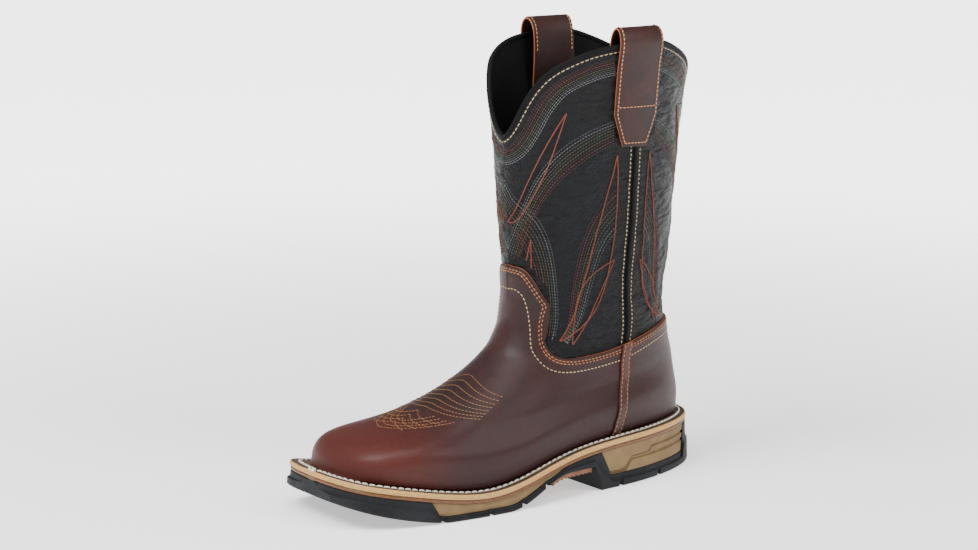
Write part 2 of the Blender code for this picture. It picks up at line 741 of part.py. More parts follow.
def add_welt():
    """Ring from the sole's outline to just inside the upper's foot."""
    way = spread(0, 1)
    y = sole_y(way)
    rings = []
    for grow, depth in ((0, WELT), (0, WELT_BEVEL), (-WELT_BEVEL, 0)):
        medial, lateral = sole_edges(y, grow)
        z = stack_top(y) - depth
        there = np.stack([lateral, y, z], -1)
        home = np.stack([medial, y, z], -1)[::-1]
        rings.append(np.concatenate([there, home]))
    plain = np.arccos(1 - 2 * way) / (2 * np.pi)
    plain = np.concatenate([plain, 1 - plain[::-1]])
    inner = plain_feather(plain, WALL + GAP)
    for depth in (0, WELT):
        ring = inner.copy()
        ring[:, 2] = stack_top(ring[:, 1]) - depth
        rings.append(ring)
    points = np.array(rings)
    index = np.arange(points[..., 0].size).reshape(points.shape[:2])
    index = closed(np.concatenate([index, index[:1]]))
    add_piece("welt", points, tiles(index), (0.10, 0.06, 0.035), 0.5)


def plain_feather(plain, inset):
    """The feather line by plain turn (not drawn to the seams), let in by an inset."""
    way = (1 - np.cos(2 * np.pi * plain)) / 2
    side = np.where(plain < 0.5, 1.0, -1.0)
    line = loop_point(way, side, 0.0)
    tangent = np.roll(line, -1, axis=0) - np.roll(line, 1, axis=0)
    normal = np.stack([-tangent[:, 1], tangent[:, 0]], -1)
    normal /= np.linalg.norm(normal, axis=-1, keepdims=True)
    line[:, :2] -= normal * (inset + OVERLAY + GAP)
    return line


def add_insole():
    """Board inside the upper, on the midsole and within the welt."""
    way = spread(0, 1)
    plain = np.arccos(1 - 2 * way) / (2 * np.pi)
    loops = np.concatenate([plain, 1 - plain[::-1]])
    line = plain_feather(loops, WALL + 2 * GAP + GAP)
    count = len(way)
    lateral, medial = line[:count], line[count:][::-1]
    points = []
    for lift in (0, INSOLE):
        for edge in (medial, lateral):
            ring = edge.copy()
            ring[:, 2] = midsole_top(ring[:, 1]) + GAP + lift
            points.append(ring)
    points = np.array(points).reshape(2, 2, count, 3)
    index = np.arange(4 * count).reshape(2, 2, count)
    faces = tiles(index[:, 0]) + tiles(index[::-1, 1]) + tiles(index[0]) + tiles(index[1][::-1])
    faces += tiles(index[:, :, 0]) + tiles(index[::-1, :, count - 1])
    add_piece("insole", points, faces, (0.20, 0.15, 0.10), 0.9)


def centre_boot():
    """Move every piece so that the boot's box is centred over the origin."""
    meshes = [piece.data for piece in bpy.data.objects]
    points = np.concatenate([[tuple(corner.co) for corner in mesh.vertices] for mesh in meshes])
    middle_xy = (points.min(axis=0) + points.max(axis=0))[:2] / 2
    for mesh in meshes:
        mesh.transform(Matrix.Translation((-middle_xy[0], -middle_xy[1], 0)))


for stale in list(bpy.data.objects):
    bpy.data.objects.remove(stale, do_unlink=True)
add_upper()
add_overlays()
for side_name, side, seam_place in (("lateral", 1.0, 0.25), ("medial", -1.0, 0.75)):
    add_side_trim(side_name, seam_place)
    add_strap(side_name, side)
add_binding()
add_insole()
add_welt()
add_midsole()
add_foam()
add_heel_block()
add_arch_insert()
add_outsole()
centre_boot()
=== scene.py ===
"""Left pull-on work boot, western square toe, 11-inch shaft: its looks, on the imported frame.

Metres, +Z up, toe to -Y, heel to +Y, lateral side to +X. Every surface is a function of a
turn round the boot (0 at the back, 0.25 at the lateral side seam, 0.5 at the front) and a
level up the last (0 on the welt, 1 just above the collar), as in the solids below it.
"""

import bmesh
import bpy
import numpy as np
from mathutils import Matrix, Vector


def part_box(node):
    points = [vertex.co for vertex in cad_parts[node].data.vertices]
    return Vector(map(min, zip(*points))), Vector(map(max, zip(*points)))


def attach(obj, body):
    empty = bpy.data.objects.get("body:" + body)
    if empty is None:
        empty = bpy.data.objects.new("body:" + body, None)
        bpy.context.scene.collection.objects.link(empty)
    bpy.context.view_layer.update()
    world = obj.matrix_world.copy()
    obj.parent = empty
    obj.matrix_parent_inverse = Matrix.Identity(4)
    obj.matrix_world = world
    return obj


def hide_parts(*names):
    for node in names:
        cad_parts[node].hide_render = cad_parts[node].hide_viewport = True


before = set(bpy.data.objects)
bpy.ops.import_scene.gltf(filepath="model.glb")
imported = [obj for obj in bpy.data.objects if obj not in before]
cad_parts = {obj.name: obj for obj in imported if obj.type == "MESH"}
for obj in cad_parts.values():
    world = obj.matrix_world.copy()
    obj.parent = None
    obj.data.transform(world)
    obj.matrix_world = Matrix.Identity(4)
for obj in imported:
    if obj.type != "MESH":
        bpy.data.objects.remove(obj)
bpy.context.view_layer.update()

# Studio: a white floor that runs out of sight, a soft white world and three large soft
# lights. The camera stands at the photograph's angle, low and in front of the boot's
# lateral side; its lens and place come from a fit of the boot's outline.
IMAGE_WIDTH = 978
IMAGE_HEIGHT = 550
CAMERA_TURN = np.radians(52.929)
CAMERA_RISE = np.radians(10.851)
CAMERA_DISTANCE = 1.782
CAMERA_TARGET = (0.00215, 0.0028, 0.160)
FOCAL_PIXELS = 2546.2
AXIS_PIXEL = (512.76, 264.06)
SENSOR = 36.0
FLOOR_REACH = 12.0
GLOW_REACH = (0.25, 1.6)
NEAR_GLOW = (0.7, 0.7, 0.7, 1.0)
FAR_GLOW = (3.6, 3.6, 3.6, 1.0)


class Wire:
    """A socket in a material's nodes. Sums on it add Math nodes."""

    def __init__(self, tree, socket=None):
        self.tree = tree
        self.socket = socket

    def node(self, kind, settings=None, sockets=None, output=0):
        """Any other node: its settings are set first, then its sockets' values or links."""
        made = self.tree.nodes.new("ShaderNode" + kind)
        for name, value in (settings or {}).items():
            setattr(made, name, value)
        for name, value in (sockets or {}).items():
            if isinstance(value, Wire):
                self.tree.links.new(value.socket, made.inputs[name])
            else:
                made.inputs[name].default_value = value
        return Wire(self.tree, made.outputs[output] if made.outputs else None)

    def sum(self, operation, first, second):
        return self.node("Math", {"operation": operation}, {0: first, 1: second})

    def __add__(self, other):
        return self.sum("ADD", self, other)

    def __sub__(self, other):
        return self.sum("SUBTRACT", self, other)

    def __rsub__(self, other):
        return self.sum("SUBTRACT", other, self)

    def __mul__(self, other):
        return self.sum("MULTIPLY", self, other)

    def __abs__(self):
        return self.sum("ABSOLUTE", self, 0.0)

    __radd__ = __add__
    __rmul__ = __mul__


def paint(code):
    """Linear colour of a hex code: each channel c becomes ((c + 0.055) / 1.055) to the 2.4."""
    channel = np.array([int(code[i:i + 2], 16) for i in (0, 2, 4)]) / 255
    return (*(((channel + 0.055) / 1.055)**2.4), 1.0)


def blank(name):
    """A new material without nodes, and its object coordinates to draw on."""
    material = bpy.data.materials.new(name)
    material.use_nodes = True
    material.node_tree.nodes.clear()
    return material, Wire(material.node_tree).node("TexCoord", output="Object")


def finish(material, place, colour, roughness, height=None, depth=0.0, fixed=None):
    """Principled shader: colour and roughness may vary, height times depth is the relief."""
    sockets = {"Base Color": colour, "Roughness": roughness, **(fixed or {})}
    if height is not None:
        sockets["Normal"] = place.node("Bump", {}, {"Height": height, "Distance": depth})
    shader = place.node("BsdfPrincipled", {}, sockets)
    place.node("OutputMaterial", {}, {"Surface": shader})
    return material


def noise(place, size, detail=2.0, roughness=0.5):
    """Random values about 0.5, with forms about one size across."""
    sockets = {"Vector": place, "Scale": 1 / size, "Detail": detail, "Roughness": roughness}
    return place.node("TexNoise", {}, sockets)


def cells(place, size, feature="F1"):
    """Distance inside cells one size across: 0 at the middle, or at the edge."""
    return place.node("TexVoronoi", {"feature": feature}, {"Vector": place, "Scale": 1 / size})


def scaled(place, factors):
    """The place stretched along each axis."""
    return place.node("Mapping", {}, {"Vector": place, "Scale": factors})


def step(value, low, high):
    """Rises softly from 0 at low to 1 at high."""
    sockets = {"Value": value, "From Min": low, "From Max": high}
    return value.node("MapRange", {"interpolation_type": "SMOOTHSTEP"}, sockets)


def mix(share, first, second):
    """First colour at share 0, second at share 1."""
    return share.node("Mix", {"data_type": "RGBA"}, {0: share, 6: first, 7: second}, 2)


def mesh_object(name, points, faces, materials, choice=None, sharp=50):
    """A smooth mesh object from an array of points and its faces, which are turned outwards."""
    mesh = bpy.data.meshes.new(name)
    mesh.from_pydata(np.reshape(points, (-1, 3)).tolist(), [], faces)
    shape = bmesh.new()
    shape.from_mesh(mesh)
    bmesh.ops.recalc_face_normals(shape, faces=shape.faces)
    shape.to_mesh(mesh)
    shape.free()
    for material in materials:
        mesh.materials.append(material)
    if choice is not None:
        mesh.polygons.foreach_set("material_index", np.asarray(choice, np.int32))
    mesh.shade_smooth()
    mesh.set_sharp_from_angle(angle=np.radians(sharp))
    piece = bpy.data.objects.new(name, mesh)
    bpy.context.scene.collection.objects.link(piece)
    return piece


def quads(index):
    """Squares of a grid of point numbers, facing the side where columns run right of rows."""
    corners = (index[:-1, :-1], index[:-1, 1:], index[1:, 1:], index[1:, :-1])
    return np.stack(corners, -1).reshape(-1, 4)


floor_finish, floor_place = blank("studio_floor")
floor_tone = mix(noise(floor_place, 0.9), paint("f3f3f2"), paint("f6f6f5"))
from_boot = floor_place.node("VectorMath", {"operation": "LENGTH"}, {0: floor_place}, 1)
far_away = mix(step(from_boot, *GLOW_REACH), NEAR_GLOW, FAR_GLOW)
finish(floor_finish, floor_place, floor_tone, 0.75, None, 0.0,
       {"Emission Color": far_away, "Emission Strength": 1.0, "Specular IOR Level": 0.1})
corner = np.array((-1, 1)) * FLOOR_REACH
floor_points = np.stack(np.meshgrid(corner, corner, [0.0]), -1)[:, :, 0]
floor = mesh_object("floor", floor_points, quads(np.arange(4).reshape(2, 2)).tolist(), [floor_finish])

world = bpy.data.worlds.new("studio")
world.use_nodes = True
world.node_tree.nodes["Background"].inputs["Color"].default_value = (1.0, 1.0, 1.0, 1.0)
world.node_tree.nodes["Background"].inputs["Strength"].default_value = 0.35
bpy.context.scene.world = world


def soft_light(name, turn, rise, away, size, power):
    """Square light at a turn and rise round the boot, aimed at its middle."""
    lamp = bpy.data.lights.new(name, "AREA")
    lamp.shape = "RECTANGLE"
    lamp.size, lamp.size_y = size
    lamp.energy = power
    turn, rise = np.radians((turn, rise))
    back = Vector((np.sin(turn) * np.cos(rise), -np.cos(turn) * np.cos(rise), np.sin(rise)))
    light = bpy.data.objects.new(name, lamp)
    light.location = Vector(CAMERA_TARGET) + back * away
    light.rotation_euler = back.to_track_quat("Z", "Y").to_euler()
    bpy.context.scene.collection.objects.link(light)


soft_light("key_light", 2, 50, 1.6, (0.8, 0.8), 32)
soft_light("side_light", 120, 34, 1.8, (0.5, 1.2), 17)
soft_light("top_light", 60, 80, 1.7, (1.1, 1.1), 20)

back = np.array([np.sin(CAMERA_TURN) * np.cos(CAMERA_RISE), -np.cos(CAMERA_TURN) * np.cos(CAMERA_RISE),
                 np.sin(CAMERA_RISE)])
right = np.array([np.cos(CAMERA_TURN), np.sin(CAMERA_TURN), 0.0])
pose = np.eye(4)
pose[:3, :3] = np.stack([right, np.cross(back, right), back], -1)
pose[:3, 3] = CAMERA_TARGET + back * CAMERA_DISTANCE
lens = bpy.data.cameras.new("camera")
lens.sensor_width = SENSOR
lens.lens = FOCAL_PIXELS * SENSOR / IMAGE_WIDTH
lens.shift_x = (IMAGE_WIDTH / 2 - AXIS_PIXEL[0]) / IMAGE_WIDTH
lens.shift_y = (AXIS_PIXEL[1] - IMAGE_HEIGHT / 2) / IMAGE_WIDTH
camera = bpy.data.objects.new("camera", lens)
camera.matrix_world = Matrix(pose.tolist())
bpy.context.scene.collection.objects.link(camera)
bpy.context.scene.camera = camera

# Shaft and lining: one hollow of thin black tumbled leather, softly rippled, with a plain
# smooth lining. It is drawn down over the last, and its foot is trapped between the welt
# and the insole. Its shape is the last's: level loops between a back and a front point.
LAST_LENGTH = 0.295
BALL_WIDTH = 0.101
INSTEP_HEIGHT = 0.100
TOE_SWING = 0.0142
COLLAR_HEIGHT = 0.317
SHAFT_DEPTH = 0.170
SHAFT_WIDTH = 0.112
WALL = 0.0024
OVERLAY = 0.0018
GAP = 0.0003
WELT_FRONT = 0.0100
WELT_BACK = 0.0076
SOLE_WIDTH = 0.1085
TOE_STACK = 0.0340
BALL_STACK = 0.0168
HEEL_STACK = 0.0362
SOLE_LENGTH = LAST_LENGTH + WELT_FRONT + WELT_BACK
SOLE_BACK = SOLE_LENGTH / 2
LAST_BACK = SOLE_BACK - WELT_BACK
# Foot loops, in shares of the last's length, the instep's height and the ball's width
# Columns: level, front_way, front_height, back_way, back_height, half_width, widest, front,
# back, waist, taper
FOOT_LOOPS = (
    (0.042, 0.988, 0.425, -0.001, 0.530, 0.500, 0.69, 8.0, 2.6, 0.12, 0.12),
    (0.083, 0.956, 0.515, 0.008, 0.665, 0.491, 0.68, 7.0, 2.6, 0.09, 0.14),
    (0.119, 0.902, 0.560, 0.012, 0.745, 0.434, 0.66, 6.0, 2.6, 0.06, 0.18),
    (0.187, 0.824, 0.602, 0.016, 0.840, 0.409, 0.62, 4.5, 2.6, 0.04, 0.20),
    (0.291, 0.696, 0.739, 0.029, 0.950, 0.377, 0.56, 3.2, 2.6, 0.00, 0.15),
    (0.390, 0.546, 1.015, 0.047, 1.137, 0.365, 0.52, 2.6, 2.5, 0.00, 0.08),
)
FEATHER_HALF_WIDTH = 0.450
FEATHER_FORM = (0.70, 9.0, 2.6, 0.16, 0.12)
# Shaft loops, in shares of the shaft's depth, the collar's height and the shaft's width
# Columns: level, depth, front_height, back_way, back_height, half_width, front, back
SHAFT_LOOPS = (
    (0.480, 0.788, 0.440, 0.053, 0.407, 0.319, 2.3, 2.3),
    (0.584, 0.818, 0.583, 0.040, 0.537, 0.366, 2.2, 2.2),
    (0.780, 0.889, 0.800, 0.016, 0.783, 0.427, 2.1, 2.1),
    (1.000, 1.046, 1.068, -0.032, 1.066, 0.517, 2.0, 2.0),
)
# Columns: way along the sole from the heel, share of the heel's rise, share of the toe's rise
STACK_LINE = ((0.00, 1.00, 0.00), (0.14, 0.99, 0.00), (0.30, 0.94, 0.00), (0.49, 0.56, 0.00),
              (0.65, 0.00, 0.00), (0.81, 0.00, 0.28), (1.00, 0.00, 1.00))
SOLE_FORM = (0.705, 13.5, 3.0, 0.21, 0.17)
SKEW = 0.035
WAIST_WAY = 0.40
WAIST_SPREAD = 0.14
LATERAL_WAIST = 0.35
SETTLE_LEVEL = 0.35
OVERLAY_LEVELS = (0.25, 0.55)
# Step between the five levels that boot_point takes the mean of, and their shares
SOFTENED = 0.036
SOFT_SHARES = (0.0625, 0.25, 0.375, 0.25, 0.0625)
GIRTH = 0.36
# Columns: level of a soft trough at the front, its depth and its reach in turns
ANKLE_TROUGHS = ((0.395, 0.0005, 0.15), (0.437, 0.0005, 0.12), (0.487, 0.0004, 0.10))
BALL_TROUGHS = ((0.205, 0.00018, 0.12), (0.262, 0.00018, 0.12))
# Columns: level, turn of the side seam
SEAM_LINE = ((0.00, 0.182), (0.06, 0.177), (0.34, 0.2035), (0.48, 0.2236), (0.76, 0.2368), (1.00, 0.2475))
# Columns: share of the way from front to back, level of the collar's edge
COLLAR_EDGE = ((0.000, 0.766), (0.042, 0.776), (0.135, 0.840), (0.207, 0.885), (0.290, 0.913),
               (0.366, 0.929), (0.432, 0.936), (0.500, 0.940), (0.579, 0.939), (0.658, 0.924),
               (0.759, 0.897), (0.850, 0.862), (0.930, 0.830), (1.000, 0.815))
SHAFT_COLUMNS = 300
SHAFT_ROWS = 118
HIDDEN_ROWS = 12
HIDDEN_SHARE = 0.30


def spline(table, at):
    """Natural cubic through a table's rows: second slopes from one linear system."""
    table = np.asarray(table, float)
    knots, values = table[:, 0], table[:, 1:]
    width = np.diff(knots)
    count = len(knots)
    bend = np.eye(count)
    inner = np.arange(1, count - 1)
    bend[inner, inner - 1] = width[:-1]
    bend[inner, inner] = 2 * (width[:-1] + width[1:])
    bend[inner, inner + 1] = width[1:]
    slope = np.diff(values, axis=0) / width[:, None]
    second = np.linalg.solve(bend, np.pad(6 * np.diff(slope, axis=0), ((1, 1), (0, 0))))
    at = np.asarray(at, float)
    i = np.clip(np.searchsorted(knots, at) - 1, 0, count - 2)
    span = width[i][..., None]
    low = (knots[i + 1] - at)[..., None] / span
    high = 1 - low
    curve = ((low**3 - low) * second[i] + (high**3 - high) * second[i + 1]) * span**2 / 6
    return low * values[i] + high * values[i + 1] + curve


def ease(share):
    """3 s squared less 2 s cubed, held between 0 and 1."""
    share = np.clip(share, 0, 1)
    return share * share * (3 - 2 * share)


def stack_top(y):
    """Height of the welt's top: heel seat, waist, ball and toe spring."""
    share = spline(STACK_LINE, np.clip((SOLE_BACK - y) / SOLE_LENGTH, 0, 1))
    heel_rise, toe_rise = HEEL_STACK - BALL_STACK, TOE_STACK - BALL_STACK
    return BALL_STACK + share[..., 0] * heel_rise + share[..., 1] * toe_rise


def middle(y):
    """Centre line: it swings inwards by the square of the way to the toe."""
    return -TOE_SWING * np.clip(-y / (LAST_LENGTH / 2), 0, None)**2


def half_share(way, widest, front, back, waist, taper):
    """Root of 1 less powers of the ways to the ends, drawn in at the waist, tapered ahead."""
    ahead = np.clip((way - widest) / (1 - widest), 0, 1)
    behind = np.clip((widest - way) / widest, 0, 1)
    egg = np.sqrt(np.clip(1 - ahead**front - behind**back, 0, 1))
    drawn = 1 - waist * np.exp(-((way - WAIST_WAY) / WAIST_SPREAD)**2)
    return egg * drawn * (1 - taper * ahead**2)


def loop_table():
    """Every loop in metres: level, front y and z, back y and z, half width and form."""
    ends = np.array([LAST_BACK - LAST_LENGTH, LAST_BACK])
    seats = stack_top(ends) + GAP
    feather = (0, ends[0], seats[0], ends[1], seats[1], FEATHER_HALF_WIDTH * BALL_WIDTH, *FEATHER_FORM)
    foot = np.array(FOOT_LOOPS)
    foot[:, (1, 3)] = LAST_BACK - foot[:, (1, 3)] * LAST_LENGTH
    foot[:, (2, 4)] *= INSTEP_HEIGHT
    foot[:, 5] *= BALL_WIDTH
    level, depth, front_height, back_way, back_height, half, front, back = np.array(SHAFT_LOOPS).T
    heel = LAST_BACK - back_way * LAST_LENGTH
    shaft = np.stack([level, heel - depth * SHAFT_DEPTH, front_height * COLLAR_HEIGHT, heel,
                      back_height * COLLAR_HEIGHT, half * SHAFT_WIDTH, 0.5 + 0 * level, front, back,
                      0 * level, 0 * level], -1)
    return np.concatenate([[feather], foot, shaft])


LOOPS = loop_table()


def loop_point(way, side, level):
    """Point at a way from the back to the front of a loop, on one side (+1 is lateral)."""
    way, side, level = np.broadcast_arrays(way, side, level)
    row = spline(LOOPS, level)
    front_y, front_z, back_y, back_z, half, widest, front, back, waist, taper = np.moveaxis(row, -1, 0)
    settle = np.clip(1 - level / SETTLE_LEVEL, 0, 1)**2
    y = back_y + (front_y - back_y) * way
    seat = LOOPS[0, 3] + (LOOPS[0, 1] - LOOPS[0, 3]) * way
    chord = LOOPS[0, 4] + (LOOPS[0, 2] - LOOPS[0, 4]) * way
    z = back_z + (front_z - back_z) * way + settle * (stack_top(seat) + GAP - chord)
    drawn = np.where(side > 0, waist * LATERAL_WAIST, waist)
    x = side * half * half_share(way, widest - side * SKEW * settle, front, back, drawn, taper)
    return np.stack([middle(y) + x, y, z], -1)


def sole_edges(y, grow):
    """Medial and lateral x of the sole's outline, let out by grow."""
    length = SOLE_LENGTH + 2 * grow
    way = np.clip((SOLE_BACK + grow - y) / length, 0.0001, 0.9999)
    widest, front, back, waist, taper = SOLE_FORM
    medial = half_share(way, widest + SKEW, front, back, waist, taper)
    lateral = half_share(way, widest - SKEW, front, back, waist * LATERAL_WAIST, taper)
    reach = SOLE_WIDTH / 2 + grow
    return middle(y) - reach * medial, middle(y) + reach * lateral


station = np.linspace(-SOLE_BACK, SOLE_BACK, 400)
own_middle = (sole_edges(station, 0)[0].min() + sole_edges(station, 0)[1].max()) / 2
welt_low, welt_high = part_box("welt")
FRAME_SHIFT = np.array(((welt_low.x + welt_high.x) / 2 - own_middle, (welt_low.y + welt_high.y) / 2, 0.0))


def last_point(turn, level):
    """Point of the last; the turn is drawn so that 0.25 and 0.75 lie on the side seams."""
    turn, level = np.broadcast_arrays(np.mod(turn, 1.0), level)
    half = np.where(turn <= 0.5, turn, 1 - turn)
    seam = spline(SEAM_LINE, level)[..., 0]
    plain = np.where(half < 0.25, half / 0.25 * seam, seam + (half - 0.25) / 0.25 * (0.5 - seam))
    way = (1 - np.cos(2 * np.pi * plain)) / 2
    return loop_point(way, np.where(turn <= 0.5, 1.0, -1.0), level)


def unit(vector):
    return vector / np.linalg.norm(vector, axis=-1, keepdims=True)


def last_normal(turn, level):
    """Outward direction, from the differences of close neighbours; flat along the welt."""
    small = 0.002
    across = last_point(turn + small, level) - last_point(turn - small, level)
    up = last_point(turn, level + small) - last_point(turn, np.maximum(level - small, 0))
    normal = unit(np.cross(up, across))
    normal[..., 2] *= ease(np.broadcast_to(level, normal.shape[:-1]) / 0.08)
    return unit(normal)


def waves(across, up, size, seed, count=14):
    """Mean of plane waves of random direction and phase, about one size long."""
    draw = np.random.default_rng(seed)
    angle = draw.uniform(0, np.pi, count)
    pace = 2 * np.pi / size * draw.uniform(0.7, 1.4, count)
    phase = draw.uniform(0, 2 * np.pi, count)
    run = (across[..., None] * np.cos(angle) + up[..., None] * np.sin(angle)) * pace + phase
    return np.cos(run).sum(-1) / np.sqrt(count / 2) / 2


def around_leg(turn):
    """Rough distance round the leg from its back, positive on the lateral side."""
    return (0.5 - np.abs(turn - 0.5)) * np.where(turn < 0.5, GIRTH, -GIRTH)


def relief(turn, level):
    """Soft troughs at the ankle and across the ball, and broad waves in the leather,
    which are calmer along the shaft's side seams."""
    turn, level = np.broadcast_arrays(np.mod(turn, 1.0), level)
    from_front = np.abs(turn - 0.5)
    at_seam = np.exp(-((from_front - 0.25) / 0.055)**2) * ease((level - 0.6) / 0.1)
    calm = ease(level / 0.10) * (1 - 0.85 * at_seam)
    broad = waves(around_leg(turn), level * COLLAR_HEIGHT, 0.055, 5)
    broad = broad * (0.00008 + 0.00045 * ease((level - 0.4) / 0.15))
    trough = np.zeros(level.shape)
    for slant, width, troughs in ((0.20, 0.011, ANKLE_TROUGHS), (0.25, 0.012, BALL_TROUGHS)):
        for place, deep, reach in troughs:
            line = level - place + slant * from_front
            trough -= deep * np.exp(-(line / width)**2 - (from_front / reach)**2)
    return (broad + trough) * calm


def boot_point(turn, level, height):
    """Point at a height over the shell's outer face, which gives way to the overlays. Over
    the foot the last is the weighted mean of five levels: leather bridges its hollows."""
    turn, level = np.broadcast_arrays(turn, level)
    low, high = OVERLAY_LEVELS
    room = (OVERLAY + GAP) * (1 - ease((level - low) / (high - low)))
    reach = height - room + relief(turn, level)
    soft = SOFTENED * ease(level / 0.14) * ease((0.55 - level) / 0.15)
    soft = soft * (0.25 + 0.75 * ease((np.abs(np.mod(turn, 1.0) - 0.5) - 0.05) / 0.10))
    base = sum(share * last_point(turn, level + soft * offset)
               for share, offset in zip(SOFT_SHARES, range(-2, 3)))
    point = base + last_normal(turn, level) * reach[..., None]
    seat = stack_top(point[..., 1]) + GAP
    point[..., 2] += np.clip(1 - level / 0.03, 0, 1) * (seat - point[..., 2])
    return point + FRAME_SHIFT


def collar_level(turn):
    return spline(COLLAR_EDGE, np.abs(np.mod(turn, 1.0) - 0.5) * 2)[..., 0]


def ripples(turn, level):
    """Height of the tumbled shaft's small ripples, drawn out round the leg: two sets of
    waves, which fade out under the vamp and at the collar."""
    turn = np.mod(turn, 1.0)
    girth = around_leg(turn)
    small = waves(girth * 0.42, level * COLLAR_HEIGHT, 0.0052, 11, 40) * 0.00020
    large = waves(girth * 0.6, level * COLLAR_HEIGHT, 0.015, 12, 20) * 0.00032
    return (small + large) * ease((level - 0.36) / 0.10) * ease((1 - level / collar_level(turn)) / 0.05)


def shell(name, outer, inner, materials, ring, rim=0, side=0):
    """A wall between two like grids. Rim and side choose the material of the cut edges."""
    rows, columns = outer.shape[:2]
    face = np.arange(rows * columns).reshape(rows, columns)
    if ring:
        face = np.concatenate([face, face[:, :1]], axis=1)
    back_face = face + rows * columns
    parts = [(quads(face), 0), (quads(back_face[:, ::-1]), 1),
             (quads(np.stack([back_face[0], face[0]])), side),
             (quads(np.stack([face[-1], back_face[-1]])), rim)]
    if not ring:
        parts += [(quads(np.stack([back_face[:, 0], face[:, 0]], -1)), side),
                  (quads(np.stack([face[:, -1], back_face[:, -1]], -1)), side)]
    faces = np.concatenate([part for part, choice in parts])
    choice = np.concatenate([np.full(len(part), choice) for part, choice in parts])
    return mesh_object(name, np.stack([outer, inner]), faces[:, ::-1].tolist(), materials,
                       np.minimum(choice, len(materials) - 1))


def grain_leather(name, dark, light, pebble, depth, gloss, gloss_spread=0.12, coat=0.0,
                  toe=None, side=None, ripple=0.0, shine=0.30):
    """Leather: pebbles between fine creases with painted shade in them, in a cloudy colour, with
    another tone on the toe and along the sides, and small ripples drawn out sideways."""
    material, place = blank(name)
    bent = place.node("VectorMath", {"operation": "MULTIPLY_ADD"},
                      {0: place.node("TexNoise", {}, {"Vector": place, "Scale": 0.3 / pebble}, 1),
                       1: (pebble, pebble, pebble), 2: place})
    crease = step(cells(bent, pebble, "DISTANCE_TO_EDGE"), 0.0, 0.28)
    cloud = noise(place, 0.030, 4.0, 0.6)
    fine = noise(place, pebble * 0.35, 2.0)
    colour = mix(step(cloud, 0.30, 0.72), dark, light)
    if side:
        sideways = place.node("SeparateXYZ", {}, {0: place}, 0)
        colour = mix(step(abs(sideways), 0.022, 0.046) * 0.8, colour, side)
    if toe:
        forward = place.node("SeparateXYZ", {}, {0: place}, 1)
        colour = mix(step(forward, -0.060, -0.125) * 0.85, colour, toe)
    # Painted shade: the colour is darkened towards black in the creases between the pebbles.
    colour = mix((1 - crease) * 0.35, colour, (0.0, 0.0, 0.0, 1.0))
    roughness = gloss + gloss_spread * (cloud - 0.5) * 2 + (1 - crease) * 0.10
    height = crease * 0.7 + fine * 0.3 + cloud * 0.4
    if ripple:
        height = height + noise(scaled(bent, (0.75, 0.75, 1.7)), 0.0062, 1.0) * ripple
    return finish(material, place, colour, roughness, height, depth,
                  {"Coat Weight": coat, "Coat Roughness": 0.30, "Specular IOR Level": shine})


shaft_leather = grain_leather("shaft_leather", paint("07080b"), paint("0d0f13"), 0.0016, 0.00040, 0.38,
                              0.10, ripple=7.0, shine=0.17)
lining, lining_place = blank("lining")
lining_tone = mix(noise(lining_place, 0.02, 3.0), paint("08080a"), paint("0e0e10"))
finish(lining, lining_place, lining_tone, 0.75, noise(lining_place, 0.0009), 0.00012,
       {"Specular IOR Level": 0.12})

share = np.concatenate([np.linspace(0, HIDDEN_SHARE, HIDDEN_ROWS, endpoint=False),
                        np.linspace(HIDDEN_SHARE, 1, SHAFT_ROWS)])[:, None]
turn = np.linspace(0, 1, SHAFT_COLUMNS, endpoint=False)[None]
level = collar_level(turn) * share
upper = shell("shaft", boot_point(turn, level, ripples(turn, level)), boot_point(turn, level, -WALL),
              [shaft_leather, lining, lining], True, 2)
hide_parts("upper")
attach(upper, "root")

# Vamp and counter: thick oiled oxblood leather over the foot, cut with a raw orange edge and
# sewn to the shaft with two close rows and a third lower down. The vamp's ears rise at the
# instep. Both are worked out from the shell's own surface, one overlay above it.
# Columns: share of the way from the seam to the front, level of the vamp's top edge
VAMP_SIDE_EDGE = ((0.00, 0.346), (0.10, 0.342), (0.21, 0.344), (0.40, 0.360), (0.526, 0.388),
                  (0.594, 0.420), (0.602, 0.445), (0.576, 0.468))
VAMP_FRONT_EDGE = ((0.576, 0.468), (0.632, 0.483), (0.692, 0.500), (0.796, 0.521), (0.919, 0.525),
                   (1.00, 0.526))
# Columns: share of the way from the seam to the back, level of the counter's top edge
COUNTER_EDGE = ((0.00, 0.346), (0.25, 0.358), (0.60, 0.370), (1.00, 0.373))
FIRST_ROW = 0.0024
SECOND_ROW = 0.0042
METRES_PER_LEVEL = 0.33
STITCH_PITCH = 0.0031
STITCH_LENGTH = 0.0025
THREAD = 0.00036


def resample(table, steps):
    """Even steps along the curve through a short table of points."""
    table = np.asarray(table, float)
    run = np.concatenate([[0], np.cumsum(np.linalg.norm(np.diff(table, axis=0) * (1, 2), axis=1))])
    return spline(np.column_stack([run, table]), np.linspace(0, run[-1], steps + 1))


def vamp_edge():
    """Turn and level along the vamp's top edge, from the lateral seam to the medial one."""
    lateral = np.concatenate([resample(VAMP_SIDE_EDGE, 62), resample(VAMP_FRONT_EDGE, 50)[1:]])
    lateral[:, 0] = 0.25 + 0.25 * lateral[:, 0]
    return np.concatenate([lateral, lateral[-2::-1] * (-1, 1) + (1, 0)])


def counter_edge():
    """Turn and level along the counter's top edge, from the medial seam to the lateral one."""
    lateral = resample(COUNTER_EDGE, 60)
    lateral[:, 0] = 1.25 - 0.25 * lateral[:, 0]
    return np.concatenate([lateral, lateral[-2::-1] * (-1, 1) + (2, 0)])[::-1]


def along(turn, level, distance):
    """The turn that lies a distance further round the loop."""
    small = 0.002 * np.sign(distance)
    speed = np.linalg.norm(last_point(turn + small, level) - last_point(turn, level), axis=-1) / abs(small)
    return turn + distance / speed


